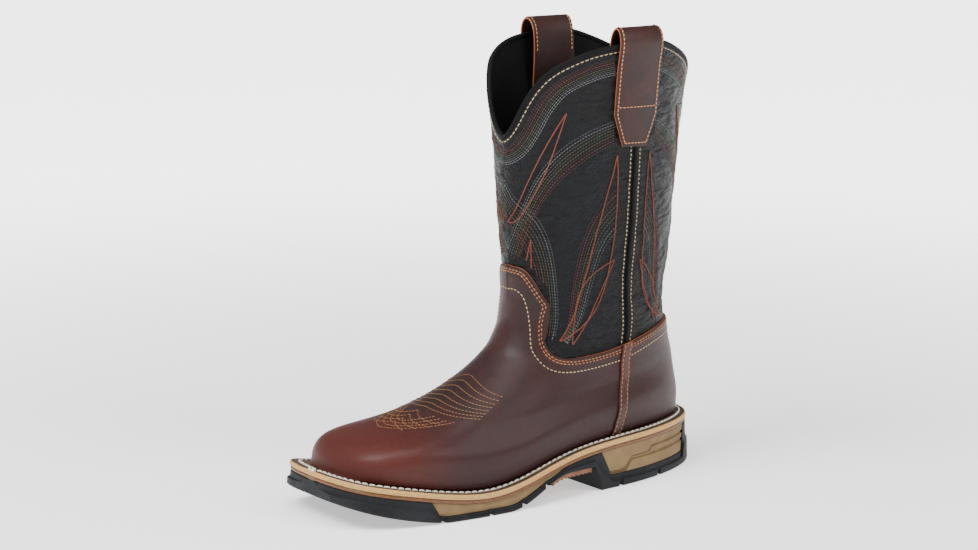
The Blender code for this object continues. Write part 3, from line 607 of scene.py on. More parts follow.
def overlay(name, edge, materials):
    """Leather from the welt up to an edge: rows share the way up, sewn rows press into it."""
    share = np.concatenate([np.linspace(0, 0.90, 64, endpoint=False), np.linspace(0.90, 1, 30)])[:, None]
    even = np.linspace(edge[0, 0], edge[-1, 0], len(edge))
    foot = 0.5 * (even + edge[:, 0])
    turn = foot + (edge[:, 0] - foot) * share**2
    level = edge[:, 1] * share
    turn[:, 0] = along(turn[:, 0], level[:, 0], GAP)
    turn[:, -1] = along(turn[:, -1], level[:, -1], -GAP)
    below = (1 - share) * edge[:, 1] * METRES_PER_LEVEL
    height = GAP + OVERLAY - 0.0007 * np.clip(1 - below / 0.0014, 0, 1)**2
    for row in (FIRST_ROW, SECOND_ROW):
        height = height - 0.00028 * np.exp(-((below - row) / 0.00065)**2)
    return shell(name, boot_point(turn, level, height), boot_point(turn, level, GAP), materials, False, 2)


vamp_leather = grain_leather("vamp_leather", paint("210a0a"), paint("381311"), 0.0007, 0.00012, 0.42,
                             0.10, 0.12, paint("551a0e"), paint("2f0e0f"), shine=0.24)
flesh_side, flesh_place = blank("flesh_side")
finish(flesh_side, flesh_place, mix(noise(flesh_place, 0.01), paint("4a3226"), paint("5d4334")), 0.9)
cut_edge, cut_place = blank("cut_edge")
cut_tone = mix(noise(cut_place, 0.0015, 3.0), paint("7a3a18"), paint("a85a2a"))
finish(cut_edge, cut_place, cut_tone, 0.7, noise(cut_place, 0.0006), 0.0001)
for name, edge in (("vamp", vamp_edge()), ("counter", counter_edge())):
    piece = overlay(name + "_leather", edge, [vamp_leather, flesh_side, cut_edge])
    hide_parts(name)
    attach(piece, "root")

# Seam strips: narrow redder-brown leather over the side seams of vamp and counter, sewn
# down along both edges. They run from the welt up to the vamp's top edge.
STRIP = 0.0012
STRIP_WIDTH = 0.0090
SEAMS = (("lateral", 1.0, 0.25), ("medial", -1.0, 0.75))
strip_leather = grain_leather("strip_leather", paint("2e100b"), paint("4a1c12"), 0.0008, 0.00012,
                              0.42, 0.08, 0.2)
strip_top = VAMP_SIDE_EDGE[0][1] + 0.004
for side_name, side, seam in SEAMS:
    level = strip_top * np.linspace(0, 1, 120)[:, None]
    across = np.array((-0.5, -0.485, -0.45, -0.38, -0.34, -0.30, -0.15, 0.001, 0.15, 0.30, 0.34, 0.38, 0.45,
                       0.485, 0.5))
    turn = np.concatenate([along(seam, level, STRIP_WIDTH * place) for place in across], axis=1)
    rounded = 1 - 0.35 * np.abs(2 * across)**10 - 0.22 * np.exp(-((np.abs(across) - 0.34) / 0.03)**2)
    over = GAP + OVERLAY + GAP
    piece = shell("seam_strip_%s_leather" % side_name, boot_point(turn, level, over + STRIP * rounded),
                  boot_point(turn, level, over), [strip_leather, flesh_side, cut_edge], False, 2)
    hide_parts("seam_strip_" + side_name)
    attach(piece, "root")

# Side piping: a dark folded bead that covers the shaft's side seam, from the strip up to
# the pull strap's tab.
BEAD_WIDTH = 0.0034
BEAD_HEIGHT = 0.0014
STRAP_OUTER_LEG = 0.072
strap_rim = float(collar_level(0.25))
rise_per_level = (last_point(0.25, 0.95)[2] - last_point(0.25, 0.80)[2]) / 0.15
bead_top = strap_rim - (STRAP_OUTER_LEG - 0.004) / rise_per_level
trim_leather = grain_leather("trim_leather", paint("050506"), paint("0a0a0c"), 0.0010, 0.00010,
                             0.55, shine=0.12)
for side_name, side, seam in SEAMS:
    level = np.linspace(strip_top, bead_top, 150)[:, None]
    across = np.sin(np.linspace(-np.pi / 2, np.pi / 2, 11)) * 0.5 + 0.0005
    turn = np.concatenate([along(seam, level, BEAD_WIDTH * place) for place in across], axis=1)
    height = GAP + BEAD_HEIGHT * np.sqrt(np.clip(1 - (1.9 * across)**2, 0.02, 1))
    piece = shell("side_piping_%s_bead" % side_name, boot_point(turn, level, height),
                  boot_point(turn, level, GAP * 0.5), [trim_leather], False)
    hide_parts("side_piping_" + side_name)
    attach(piece, "root")

# Collar binding: a thin strip rolled over the scalloped rim of shaft and lining.
BINDING_WIDTH = 0.0036
BINDING_HEIGHT = 0.0026
BINDING_STATIONS = 420
BINDING_COLUMNS = 14
turn = np.linspace(0, 1, BINDING_STATIONS, endpoint=False)
level = collar_level(turn)
rim = 0.5 * (boot_point(turn, level, 0) + boot_point(turn, level, -WALL))
out = last_normal(turn, level)
up = np.cross(out, np.roll(rim, -1, axis=0) - np.roll(rim, 1, axis=0))
up = unit(up * np.sign(up[:, 2:]))
angle = np.linspace(0, 2 * np.pi, BINDING_COLUMNS, endpoint=False)
drape = np.where(np.sin(angle) < 0, 1.25, 0.5)
ring = rim[:, None] + up[:, None] * (GAP + BINDING_HEIGHT * (0.5 + np.sin(angle) * drape))[:, None]
ring = ring + out[:, None] * (np.cos(angle) * BINDING_WIDTH / 2)[:, None]
index = np.arange(BINDING_STATIONS * BINDING_COLUMNS).reshape(BINDING_STATIONS, BINDING_COLUMNS)
index = np.pad(index, ((0, 1), (0, 1)), "wrap")
binding = mesh_object("collar_roll", ring, quads(index).tolist(), [trim_leather])
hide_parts("collar_binding")
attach(binding, "root")

# Pull straps: two straps of smooth red-brown leather, folded over the collar at the sides,
# with a tapered tab outside and a plain leg inside, sewn along both edges and across.
STRAP_WIDTH = 0.038
STRAP_TAB_WIDTH = 0.021
STRAP_THICKNESS = 0.0022
STRAP_TAB = 0.024
STRAP_INNER_LEG = 0.080
STRAP_RISE = 0.0120
STRAP_STAND_OFF = 0.0070
STRAP_ROW = 0.0021
TAB_ROWS = 16
LEG_ROWS = 26
LOOP_ROWS = 29


def strap_grid(side, shares, insets):
    """Middle of a strap: rows follow its path, outer leg, loop and inner leg; columns run
    across it at shares of its half width, let in by insets."""
    half = STRAP_THICKNESS / 2
    out, home = GAP + half, -WALL - GAP - half
    clear = (BINDING_WIDTH - WALL) / 2 + GAP
    tab = STRAP_OUTER_LEG - STRAP_TAB
    drop = np.concatenate([np.linspace(STRAP_OUTER_LEG, tab, TAB_ROWS, endpoint=False),
                           np.linspace(tab, 0, LEG_ROWS)])
    angle = np.linspace(0, np.pi, LOOP_ROWS + 1)[1:]
    leg = np.linspace(0, STRAP_INNER_LEG, LEG_ROWS)[1:]
    start, end = out + clear, home - STRAP_STAND_OFF
    offset = np.concatenate([out + clear * ease(1 - drop / (4 * BINDING_WIDTH)),
                             (start + end) / 2 + (start - end) / 2 * np.cos(angle),
                             home - STRAP_STAND_OFF * (1 - ease(leg / (0.75 * STRAP_INNER_LEG)))])
    drops = np.concatenate([drop, -(STRAP_RISE - half) * np.sin(angle), leg])
    width = np.interp(drops, (tab, STRAP_OUTER_LEG), (STRAP_WIDTH, STRAP_TAB_WIDTH))
    width[len(drop):] = STRAP_WIDTH
    across = width[:, None] / 2 * np.asarray(shares) - np.asarray(insets)
    level = strap_rim - drops[:, None] / rise_per_level + 0 * across
    row = spline(LOOPS, level)
    y = last_point(0.25, strap_rim)[1] + across
    way = (row[..., 2] - y) / (row[..., 2] - row[..., 0])
    small = 0.002
    turned = loop_point(way + small, side, level) - loop_point(way - small, side, level)
    risen = loop_point(way, side, level + small) - loop_point(way, side, level - small)
    normal = unit(np.cross(risen, turned))
    normal *= np.sign(normal[..., :1]) * side
    point = loop_point(way, side, level) + normal * offset[:, None, None] + FRAME_SHIFT
    facing = unit(np.cross(np.gradient(point, axis=0), np.gradient(point, axis=1)))
    facing *= np.sign((facing[5] * normal[5]).sum(-1).mean())
    return point, facing, drops


strap_leather = grain_leather("strap_leather", paint("1f0a08"), paint("361510"), 0.0007, 0.00010,
                              0.42, 0.10, 0.08, shine=0.20)
shares = np.sin(np.linspace(-np.pi / 2, np.pi / 2, 25))
straps = {}
for side_name, side, seam in SEAMS:
    point, facing, drops = strap_grid(side, shares, 0 * shares)
    straps[side_name] = (point, facing)
    half = STRAP_THICKNESS / 2 * np.sqrt(np.clip(1 - np.abs(shares)**24 * 0.75, 0, 1))[:, None]
    piece = shell("pull_strap_%s_leather" % side_name, point + facing * half, point - facing * half,
                  [strap_leather, strap_leather, cut_edge], False, 2, 2)
    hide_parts("pull_strap_" + side_name)
    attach(piece, "root")

# Seams: rows of stitches in waxed thread. Each stitch is a short rod that dips into the
# leather at both ends. Rows lie on the boot's surface at a distance from an edge.


def on_boot(path, height):
    """Points and outward directions along a path of turns and levels."""
    turn, level = np.asarray(path).T
    return boot_point(turn, level, height), last_normal(turn, level)


def on_shaft(path):
    """Points on the rippled shaft and outward directions along a path of turns and levels."""
    return on_boot(path, ripples(*path.T))


def slide(path, distance, steps=5):
    """The path moved a distance down or up over the surface, in a few short steps. Each step
    aside is solved from the slopes along turn and level; what comes too near is left out."""
    start = last_point(*path.T)
    moved = path
    small = 0.001
    for count in range(steps):
        turn, level = moved.T
        here = last_point(turn, level)
        by_turn = (last_point(turn + small, level) - here) / small
        by_level = (last_point(turn, level + small) - here) / small
        aside = np.cross(last_normal(turn, level), unit(np.gradient(here, axis=0)))
        aa, ab, bb = ((first * second).sum(-1) for first, second in
                      ((by_turn, by_turn), (by_turn, by_level), (by_level, by_level)))
        av, bv = (by_turn * aside).sum(-1), (by_level * aside).sum(-1)
        way = np.stack([av * bb - bv * ab, bv * aa - av * ab], -1) / (aa * bb - ab**2)[:, None]
        moved = moved + distance / steps * way
    away = np.linalg.norm(last_point(*moved.T)[:, None] - start[None], axis=-1).min(axis=1)
    return moved[away > 0.96 * abs(distance)]


def stitches(name, rows, colour, pitch=STITCH_PITCH, length=STITCH_LENGTH, radius=THREAD,
             around=5, twist=0.0):
    """Rods along rows of points: radius and lift fall off with the fourth power to the ends."""
    place = np.linspace(-1, 1, 4 if around < 7 else 9)
    angle = np.linspace(0, 2 * np.pi, around, endpoint=False)
    rods = []
    for points, normals, *free in rows:
        run = np.concatenate([[0], np.cumsum(np.linalg.norm(np.diff(points, axis=0), axis=1))])
        count = max(int(run[-1] / pitch), 1)
        at = (np.arange(count) + 0.5)[:, None] * run[-1] / count + place * length / 2
        if free:
            at = at[np.interp(at[:, 0], run, free[0]) * np.interp(at[:, -1], run, free[0]) > 0.99]
        centre = np.stack([np.interp(at, run, column) for column in points.T], -1)
        normal = unit(np.stack([np.interp(at, run, column) for column in normals.T], -1))
        sideways = unit(np.cross(np.gradient(centre, axis=1), normal))
        lift = radius * (0.55 - 1.0 * place**4)
        size = radius * (1 - 0.55 * place**4)[:, None] * (1 + twist * np.cos(2 * angle + place[:, None] * 9))
        spoke = normal[:, :, None] * (np.cos(angle) * size)[..., None]
        spoke = spoke + sideways[:, :, None] * (np.sin(angle) * size)[..., None]
        rods.append(centre[:, :, None] + normal[:, :, None] * lift[:, None, None] + spoke)
    rods = np.concatenate(rods)
    index = np.arange(rods[..., 0].size).reshape(rods.shape[:3])
    wrapped = np.concatenate([index, index[:, :, :1]], axis=2)
    corners = (wrapped[:, :-1, :-1], wrapped[:, :-1, 1:], wrapped[:, 1:, 1:], wrapped[:, 1:, :-1])
    faces = np.stack(corners, -1).reshape(-1, 4).tolist()
    faces += index[:, 0, ::-1].tolist() + index[:, -1].tolist()
    thread, thread_place = blank(name + "_thread")
    tone = mix(noise(thread_place, 0.004), colour, tuple(0.72 * part for part in colour[:3]) + (1.0,))
    finish(thread, thread_place, tone, 0.6, noise(thread_place, 0.0004), 0.00004)
    piece = mesh_object(name, rods, faces, [thread])
    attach(piece, "root")


CREAM = paint("c3aa80")
ORANGE = paint("b5713a")
# Columns: share of the way from the seam to the front or back, level of the lower row
LOWER_VAMP_ROW = ((0.0, 0.290), (0.236, 0.302), (0.434, 0.336), (0.594, 0.376), (0.700, 0.415),
                  (0.765, 0.462), (0.850, 0.486), (1.0, 0.488))
LOWER_COUNTER_ROW = ((0.0, 0.290), (0.25, 0.310), (0.72, 0.320), (1.0, 0.322))
top = GAP + OVERLAY
edges = (vamp_edge(), counter_edge())
edge_rows = [on_boot(slide(edge, FIRST_ROW), top - 0.0002) for edge in edges]
second_rows = [on_boot(slide(edge, SECOND_ROW), top - 0.0002) for edge in edges]
lower_rows = []
for table, start in ((LOWER_VAMP_ROW, 0.25), (LOWER_COUNTER_ROW, 1.25)):
    path = spline(table, np.linspace(0, 1, 160))[:, 0]
    ahead = np.linspace(0, 0.25, 160) * (1 if start < 1 else -1)
    for sign, origin in ((1, start), (-1, 1 - start if start < 1 else 2 - start)):
        row = np.stack([origin + sign * ahead, path], -1)[4:]
        lower_rows.append(on_boot(row, top - 0.0001))
stitches("edge_stitching", edge_rows, ORANGE)
stitches("second_stitching", second_rows, ORANGE)
stitches("lower_stitching", lower_rows, CREAM)
seam_rows, strip_rows = [], []
for side_name, side, seam in SEAMS:
    for reach in (-0.00425, 0.00425):
        level = np.linspace(VAMP_SIDE_EDGE[0][1] + 0.003, strap_rim - 0.045 / rise_per_level, 160)
        seam_rows.append(on_shaft(np.stack([along(seam, level, reach), level], -1)))
    for reach in (-0.34, 0.34):
        level = np.linspace(0.004, strip_top - 0.002, 160)
        path = np.stack([along(seam, level, STRIP_WIDTH * reach), level], -1)
        strip_rows.append(on_boot(path, GAP + OVERLAY + GAP + STRIP * 0.8))
stitches("side_seam_stitching", seam_rows, CREAM, 0.0030, 0.0021, 0.00042)
stitches("strip_stitching", strip_rows, ORANGE)
strap_rows = []
for side_name, side, seam in SEAMS:
    for edge in (-1, 1):
        insets = edge * STRAP_ROW + np.array((-0.001, 0.0, 0.001))
        point, facing, drops = strap_grid(side, np.full(3, edge), insets)
        keep = slice(2, TAB_ROWS + LEG_ROWS + LOOP_ROWS + 4)
        lifted = point[keep, 1] + facing[keep, 1] * STRAP_THICKNESS / 2
        strap_rows.append((lifted, facing[keep, 1]))
    point, facing = straps[side_name]
    for row in (2, 19):
        inner_columns = slice(4, -4)
        strap_rows.append((point[row, inner_columns] + facing[row, inner_columns] * STRAP_THICKNESS / 2,
                           facing[row, inner_columns]))
stitches("strap_stitching", strap_rows, paint("c48a58"), 0.0029, 0.0023)
collar_turn = np.linspace(0, 1, 500)
collar_line = np.stack([collar_turn, collar_level(collar_turn)], -1)
collar_rows = [on_shaft(slide(collar_line, 0.0022))]
stitches("collar_stitching", collar_rows, CREAM, 0.0036, 0.0028, 0.00033)

# Shaft embroidery: rows of fine stitches in six colours. A band follows the collar, and on
# each panel three sweeps of rows run from its centre line or foot to the side seam, under
# blades outlined in bold rust thread. The vamp has a toe flourish.
BAND_COLOURS = {"maroon": paint("3f161b"), "rust": paint("6e3018"), "gold": paint("5c5029"),
                "olive": paint("3f412d"), "grey": paint("484b4d"), "pale": paint("6d6f6c")}
COLLAR_ROWS = ("maroon", "maroon", "rust", "maroon", "gold", "olive", "grey", "pale", "pale")
COLLAR_BAND = np.linspace(0.0066, 0.0178, len(COLLAR_ROWS))
SWEEP_ROWS = ("maroon", "rust", "maroon", "gold", "olive", "gold", "grey", "pale", "grey")
PANEL_LOW = 0.372
PANEL_TOP = 0.078
# Each sweep of rows lies between two curves. Points are shares across the panel from the
# seam to its centre line, and up it from the vamp's line to the collar band
SWEEPS = (
    (((1.00, 0.34), (0.78, 0.55), (0.48, 0.72), (0.12, 0.82)),
     ((1.00, 0.60), (0.74, 0.76), (0.44, 0.86), (0.12, 0.90))),
    (((1.00, 0.74), (0.84, 0.56), (0.70, 0.34), (0.62, 0.04)),
     ((1.00, 0.98), (0.76, 0.68), (0.56, 0.40), (0.50, 0.02))),
    (((0.44, 0.06), (0.40, 0.30), (0.30, 0.50), (0.13, 0.62)),
     ((0.40, 0.04), (0.30, 0.22), (0.21, 0.38), (0.11, 0.46))),
)
# Blades in bold rust thread: foot, tip, and how far each of the two sides bows out
BLADES = (
    ((0.46, 0.06), (0.13, 0.76), 0.17, 0.02), ((0.36, 0.03), (0.11, 0.36), -0.13, -0.01),
    ((0.97, 0.72), (0.46, 0.99), 0.13, 0.02), ((0.98, 0.10), (0.74, 0.52), 0.12, 0.00),
)


def panel_path(points, side, sign):
    """Turns and levels for panel shares: sign +1 is the front panel, -1 the back one."""
    across, up = np.asarray(points).T
    seam = 0.25 if side > 0 else 0.75
    turn = seam + sign * side * 0.25 * across
    top = collar_level(turn) - PANEL_TOP
    return np.stack([turn, PANEL_LOW + (top - PANEL_LOW) * up], -1)


def curve(points, steps=70):
    """Smooth run through a few points, evenly timed."""
    table = np.column_stack([np.linspace(0, 1, len(points)), points])
    return spline(table, np.linspace(0, 1, steps))


def blade(foot, tip, first, second, steps=60):
    """Closed outline of a curved blade: both sides leave the straight line from foot to tip
    by their bow times the sine of the way along, squarely to it."""
    s = np.linspace(0, 1, steps)[:, None]
    foot, tip = np.array(foot), np.array(tip)
    aside = np.array((-(tip - foot)[1], (tip - foot)[0])) / np.linalg.norm(tip - foot)
    straight = foot + (tip - foot) * s
    arc = np.sin(np.pi * s**0.8) * aside
    return np.concatenate([straight + first * arc, (straight + second * arc)[::-1]])


def ear_level(from_front):
    """Level of the vamp's edge by the turn from the front, with the ear squared off."""
    return np.interp(from_front, (0.0, 0.02, 0.05, 0.08, 0.1015, 0.1035, 0.13, 0.16, 0.20, 0.25),
                     (0.526, 0.525, 0.520, 0.498, 0.480, 0.405, 0.378, 0.358, 0.346, 0.346))


def shown(path):
    """1 where the path is clear of the overlays, straps and seam rows, else 0."""
    turn, level = path.T
    from_seam = np.abs(np.abs(turn - 0.5) - 0.25)
    edge = np.where(np.abs(turn - 0.5) < 0.25, ear_level(np.abs(turn - 0.5)), 0.375)
    tab_foot = strap_rim - (STRAP_OUTER_LEG + 0.004) / rise_per_level
    free = (level > edge + 0.014) & (from_seam > 0.019)
    free &= (level < tab_foot) | (from_seam > 0.036)
    return free.astype(float)


thread_rows = {name: [] for name in BAND_COLOURS}
for name, reach in zip(COLLAR_ROWS, COLLAR_BAND):
    path = slide(collar_line, reach)
    thread_rows[name].append((*on_shaft(path), shown(path)))
bold_rows = []
for side in (1, -1):
    for sign in (1, -1):
        for first, second in SWEEPS:
            for name, part in zip(SWEEP_ROWS, np.linspace(0, 1, len(SWEEP_ROWS))):
                points = curve(np.array(first) * (1 - part) + np.array(second) * part)
                path = panel_path(points, side, sign)
                thread_rows[name].append((*on_shaft(path), shown(path)))
        for sizes in BLADES:
            path = panel_path(blade(*sizes), side, sign)
            bold_rows.append((*on_shaft(path), shown(path)))
for name, colour in BAND_COLOURS.items():
    stitches("embroidery_" + name, thread_rows[name], colour, 0.0022, 0.0018, 0.00021)
stitches("embroidery_bold", bold_rows, BAND_COLOURS["rust"], 0.0017, 0.0022, 0.00048)

# The flourish has arcs across the vamp and, below them, loops that point down and up
FLOURISH_ARCS = 8
FLOURISH_LOOPS = 4
flourish = []
reach = np.linspace(-1, 1, 90)
for row in range(FLOURISH_ARCS):
    level = 0.338 - 0.0115 * row - 0.058 * np.abs(reach)**1.6
    flourish.append(on_boot(np.stack([0.5 + 0.106 * reach, level], -1), GAP + OVERLAY))
for row in range(FLOURISH_LOOPS):
    level = 0.245 - 0.018 * row - (0.055 - 0.006 * row) * np.abs(reach)**0.8
    flourish.append(on_boot(np.stack([0.5 + (0.072 - 0.012 * row) * reach, level], -1), GAP + OVERLAY))
    level = 0.150 + 0.016 * row + (0.050 - 0.006 * row) * np.abs(reach)**1.4
    flourish.append(on_boot(np.stack([0.5 + (0.080 - 0.012 * row) * reach, level], -1), GAP + OVERLAY))
stitches("toe_flourish", flourish, paint("9a6a3a"), 0.0025, 0.0021, 0.00026)

# Insole: a leather-covered board in the foot of the shell, on the midsole.
INSOLE = 0.0046
WELT = 0.0040


def spread(back, front, steps):
    """Stations between two ways, closer together towards the ends of the whole sole."""
    turn = np.arccos(1 - 2 * np.clip(np.array((back, front)), 0.0001, 0.9999))
    return (1 - np.cos(np.linspace(turn[0], turn[1], steps + 1))) / 2


def feather(way, side, inset):
    """The line where the shell meets the welt, let in by an inset across the line."""
    small = 1e-4
    line = loop_point(way, side, 0.0)
    ahead = loop_point(np.clip(way + small, 0, 1), side, 0.0)
    behind = loop_point(np.clip(way - small, 0, 1), side, 0.0)
    tangent = unit((ahead - behind)[..., :2])
    line[..., 0] += side * tangent[..., 1] * (inset + OVERLAY + GAP)
    line[..., 1] -= side * tangent[..., 0] * (inset + OVERLAY + GAP)
    return line


def loft(name, sections, materials, sharp=35):
    """Solid from cross sections: rows are stations along the boot, columns go round."""
    rows, columns = sections.shape[:2]
    index = np.arange(rows * columns).reshape(rows, columns)
    faces = quads(np.concatenate([index, index[:, :1]], axis=1)).tolist()
    faces += [index[0, ::-1].tolist(), index[-1].tolist()]
    piece = mesh_object(name, sections + FRAME_SHIFT, faces, materials, None, sharp)
    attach(piece, "root")
    return piece


def midsole_top(y):
    return stack_top(y) - WELT - GAP


insole_board, insole_place = blank("insole_board")
insole_tone = mix(step(noise(insole_place, 0.02, 3.0), 0.3, 0.7), paint("2c2620"), paint("3d352b"))
finish(insole_board, insole_place, insole_tone, 0.85, noise(insole_place, 0.001, 3.0), 0.0002)
way = spread(0, 1, 160)
lateral, medial = (feather(way, side, WALL + 3 * GAP) for side in (1.0, -1.0))
y = lateral[:, 1]
shares = np.linspace(0, 1, 9)
bed = midsole_top(y)[:, None] + GAP
cup = 0.0008 * np.abs(2 * shares - 1)**3
upper_x = lateral[:, :1] + (medial[:, :1] - lateral[:, :1]) * shares
lower_x = upper_x[:, ::-1]
loop_x = np.concatenate([upper_x, lower_x], axis=1)
loop_z = np.concatenate([bed + INSOLE - 0.0008 + cup, bed + 0 * lower_x], axis=1)
insole = loft("insole_cover", np.stack([loop_x, y[:, None] + 0 * loop_x, loop_z], -1), [insole_board])
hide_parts("insole")

# Welt: a ring of leather, dark brown on top with a pale cut edge, sewn down near the upper
# with thick twisted cream thread.
WELT_ROW = 0.0050
WELT_PITCH = 0.0050


def outline_ring(grow, depth, steps=260):
    """The sole's outline let out by grow, at a depth under the welt's top: one closed row."""
    y = SOLE_BACK - spread(0, 1, steps) * SOLE_LENGTH
    medial, lateral = sole_edges(y, grow)
    x = np.concatenate([lateral, medial[::-1]])
    y = np.concatenate([y, y[::-1]])
    return np.stack([x, y, stack_top(y) - depth], -1) + FRAME_SHIFT


welt_top, welt_place = blank("welt_top")
welt_tone = mix(step(noise(welt_place, 0.012, 4.0), 0.3, 0.7), paint("2b1c13"), paint("4a3323"))
finish(welt_top, welt_place, welt_tone, 0.5, noise(welt_place, 0.0012, 3.0), 0.00015)
welt_edge, edge_place = blank("welt_edge")
edge_lines = noise(scaled(edge_place, (1.0, 1.0, 6.0)), 0.0024, 3.0)
edge_tone = mix(step(edge_lines, 0.30, 0.66), paint("a67d42"), paint("c99e5e"))
finish(welt_edge, edge_place, edge_tone, 0.62, edge_lines, 0.00012)
section = ((0, WELT), (0.0003, 0.70 * WELT), (0.0003, 0.40 * WELT), (0.0, 0.0010), (-0.0004, 0.0004),
           (-0.0010, 0.0001), (-0.0020, 0.0), (-WELT_ROW + 0.0012, 0.0), (-WELT_ROW, 0.0005),
           (-WELT_ROW - 0.0012, 0.0))
rings = [outline_ring(grow, depth) for grow, depth in section]
way = spread(0, 1, 260)
inner = np.concatenate([feather(way, 1.0, WALL + GAP), feather(way, -1.0, WALL + GAP)[::-1]]) + FRAME_SHIFT
for depth in (0.0, WELT):
    inner[:, 2] = stack_top(inner[:, 1] - FRAME_SHIFT[1]) - depth
    rings.append(inner.copy())
rings = np.stack(rings)
index = np.arange(rings[..., 0].size).reshape(rings.shape[:2])
index = np.pad(index, ((0, 1), (0, 1)), "wrap")
choice = np.repeat((1, 1, 1, 1, 0, 0, 0, 0, 0, 0, 0, 0), rings.shape[1])
welt = mesh_object("welt_ring", rings, quads(index).tolist(), [welt_top, welt_edge], choice)
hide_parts("welt")
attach(welt, "root")
welt_line = outline_ring(-WELT_ROW, 0.0002)
welt_up = np.zeros_like(welt_line) + (0.0, 0.0, 1.0)
stitches("welt_stitching", [(welt_line, welt_up)], paint("efe6d2"), WELT_PITCH, 0.0046,
         0.00078, 8, 0.22)

# Midsole: a second layer of leather under the welt, its edge stained amber.
MIDSOLE = 0.0026
CROSS_COLUMNS = 10


def midsole_foot(y):
    return midsole_top(y) - MIDSOLE


def layer(name, levels, materials, under=None, columns=CROSS_COLUMNS, sharp=35):
    """Solid between its lowest and highest level: each level gives its y, how far the
    outline is let out there and its height. The underside may take a relief."""
    x_medial, x_lateral, y_all, z_all = [], [], [], []
    for y, grow, z in levels:
        medial, lateral = sole_edges(y, grow)
        x_medial.append(medial)
        x_lateral.append(lateral)
        y_all.append(y)
        z_all.append(z + 0 * y)
    medial, lateral, y, z = (np.stack(part, -1) for part in (x_medial, x_lateral, y_all, z_all))
    share = np.linspace(0, 1, columns + 2)[1:-1]
    over_x = lateral[:, -1:] + (medial - lateral)[:, -1:] * share
    under_x = medial[:, :1] + (lateral - medial)[:, :1] * share
    flat = 0 * over_x
    sunk = under(y[:, :1] + flat, under_x) if under else flat
    loop = [np.concatenate(parts, axis=1) for parts in (
        (lateral, over_x, medial[:, ::-1], under_x),
        (y, y[:, -1:] + flat, y[:, ::-1], y[:, :1] + flat),
        (z, z[:, -1:] + flat, z[:, ::-1], z[:, :1] + sunk))]
    return loft(name, np.stack(loop, -1), materials, sharp)


midsole_edge, midsole_place = blank("midsole_edge")
midsole_tone = mix(step(noise(scaled(midsole_place, (1.0, 1.0, 5.0)), 0.003, 3.0), 0.3, 0.7),
                   paint("4f2c0c"), paint("744616"))
finish(midsole_edge, midsole_place, midsole_tone, 0.45, noise(midsole_place, 0.001, 3.0), 0.0001)
y = SOLE_BACK - spread(0, 1, 220) * SOLE_LENGTH
thick = midsole_top(y) - midsole_foot(y)
midsole = layer("midsole_layer", [(y, -0.0006, midsole_foot(y)), (y, -0.0001, midsole_foot(y) + 0.3 * thick),
                                  (y, 0.0, midsole_foot(y) + 0.7 * thick), (y, -0.0004, midsole_top(y))],
                [midsole_edge])
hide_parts("midsole")

# Outsole: one moulding of blue-black rubber with a toe wrap, chamfered lugs with notches
# between them, a raised shank, a heel tread and a rear wrap. Foam and heel block sit in
# pockets in its top, which open at both sides.
RUBBER = 0.0038
HEEL_TREAD = 0.0092
TOE_LIFT = 0.0165
ARCH_LIFT = 0.0180
HEEL_BEVEL = 0.0020
FLARE = 0.0015
NOTCH_WIDTH = 0.0024
NOTCH_DEPTH = 0.0024
NOTCH_DRAFT = 0.0008
LUG_BEVEL = 0.0011
LUG_STAND = 0.0006
TREAD_GROOVE = 0.0013
CHEVRON_PITCH = 0.0125
CHEVRON_SWEEP = 0.016
LONG_GROOVES = 0.62
TREAD_EDGE = 0.90
# Ways along the sole from the heel: the pockets' corners and the turns of the underside
HEEL_POCKET = (0.053, 0.0625, 0.326, 0.354)
FOAM_POCKET = (0.466, 0.528, 0.800, 0.818)
BREAST = (0.357, 0.378)
ARCH_FRONT = 0.453
FLAT = (0.629, 0.773)
FOREFOOT_TREAD = (0.535, 0.90)
HEEL_TREAD_WAYS = (0.03, 0.330)
HEEL_BEVEL_WAY = 0.035
NOTCHES = (0.172, 0.299, 0.523, 0.590, 0.677, 0.795)


def tread(way):
    """Underside without its notches: toe spring, flats, arch and heel breast."""
    toe = TOE_LIFT * np.clip((way - FLAT[1]) / (1 - FLAT[1]), 0, 1)**1.5
    arch = ARCH_LIFT * ease((FLAT[0] - way) / (FLAT[0] - ARCH_FRONT))
    breast = np.clip((way - BREAST[0]) / (BREAST[1] - BREAST[0]), 0, 1)
    heel = HEEL_BEVEL * np.clip((HEEL_BEVEL_WAY - way) / HEEL_BEVEL_WAY, 0, 1)**1.5
    return toe + arch * breast + heel


def notch_depth(way):
    """Depth of the cross grooves: flat floors with short slanted sides."""
    away = np.abs(way[:, None] - NOTCHES) * SOLE_LENGTH - NOTCH_WIDTH / 2
    return NOTCH_DEPTH * np.clip(1 - away / NOTCH_DRAFT, 0, 1).max(axis=1)


def sole_y(way):
    return SOLE_BACK - np.asarray(way) * SOLE_LENGTH


def under_midsole(way):
    return midsole_foot(sole_y(way)) - GAP


def rubber_top(way):
    """Top of the rubber: under the midsole, with a straight-ended pocket for each block."""
    top = under_midsole(way)
    for floor, corners in ((HEEL_TREAD + 0 * way, HEEL_POCKET), (tread(way) + RUBBER, FOAM_POCKET)):
        ends = under_midsole(np.array(corners)[[0, 3]])
        feet = np.interp(corners[1:3], way, floor)
        ramps = np.interp(way, corners, (ends[0], feet[0], feet[1], ends[1]))
        top = np.where((way > corners[0]) & (way < corners[3]), ramps, top)
        top = np.where((way >= corners[1]) & (way <= corners[2]), floor, top)
    return top


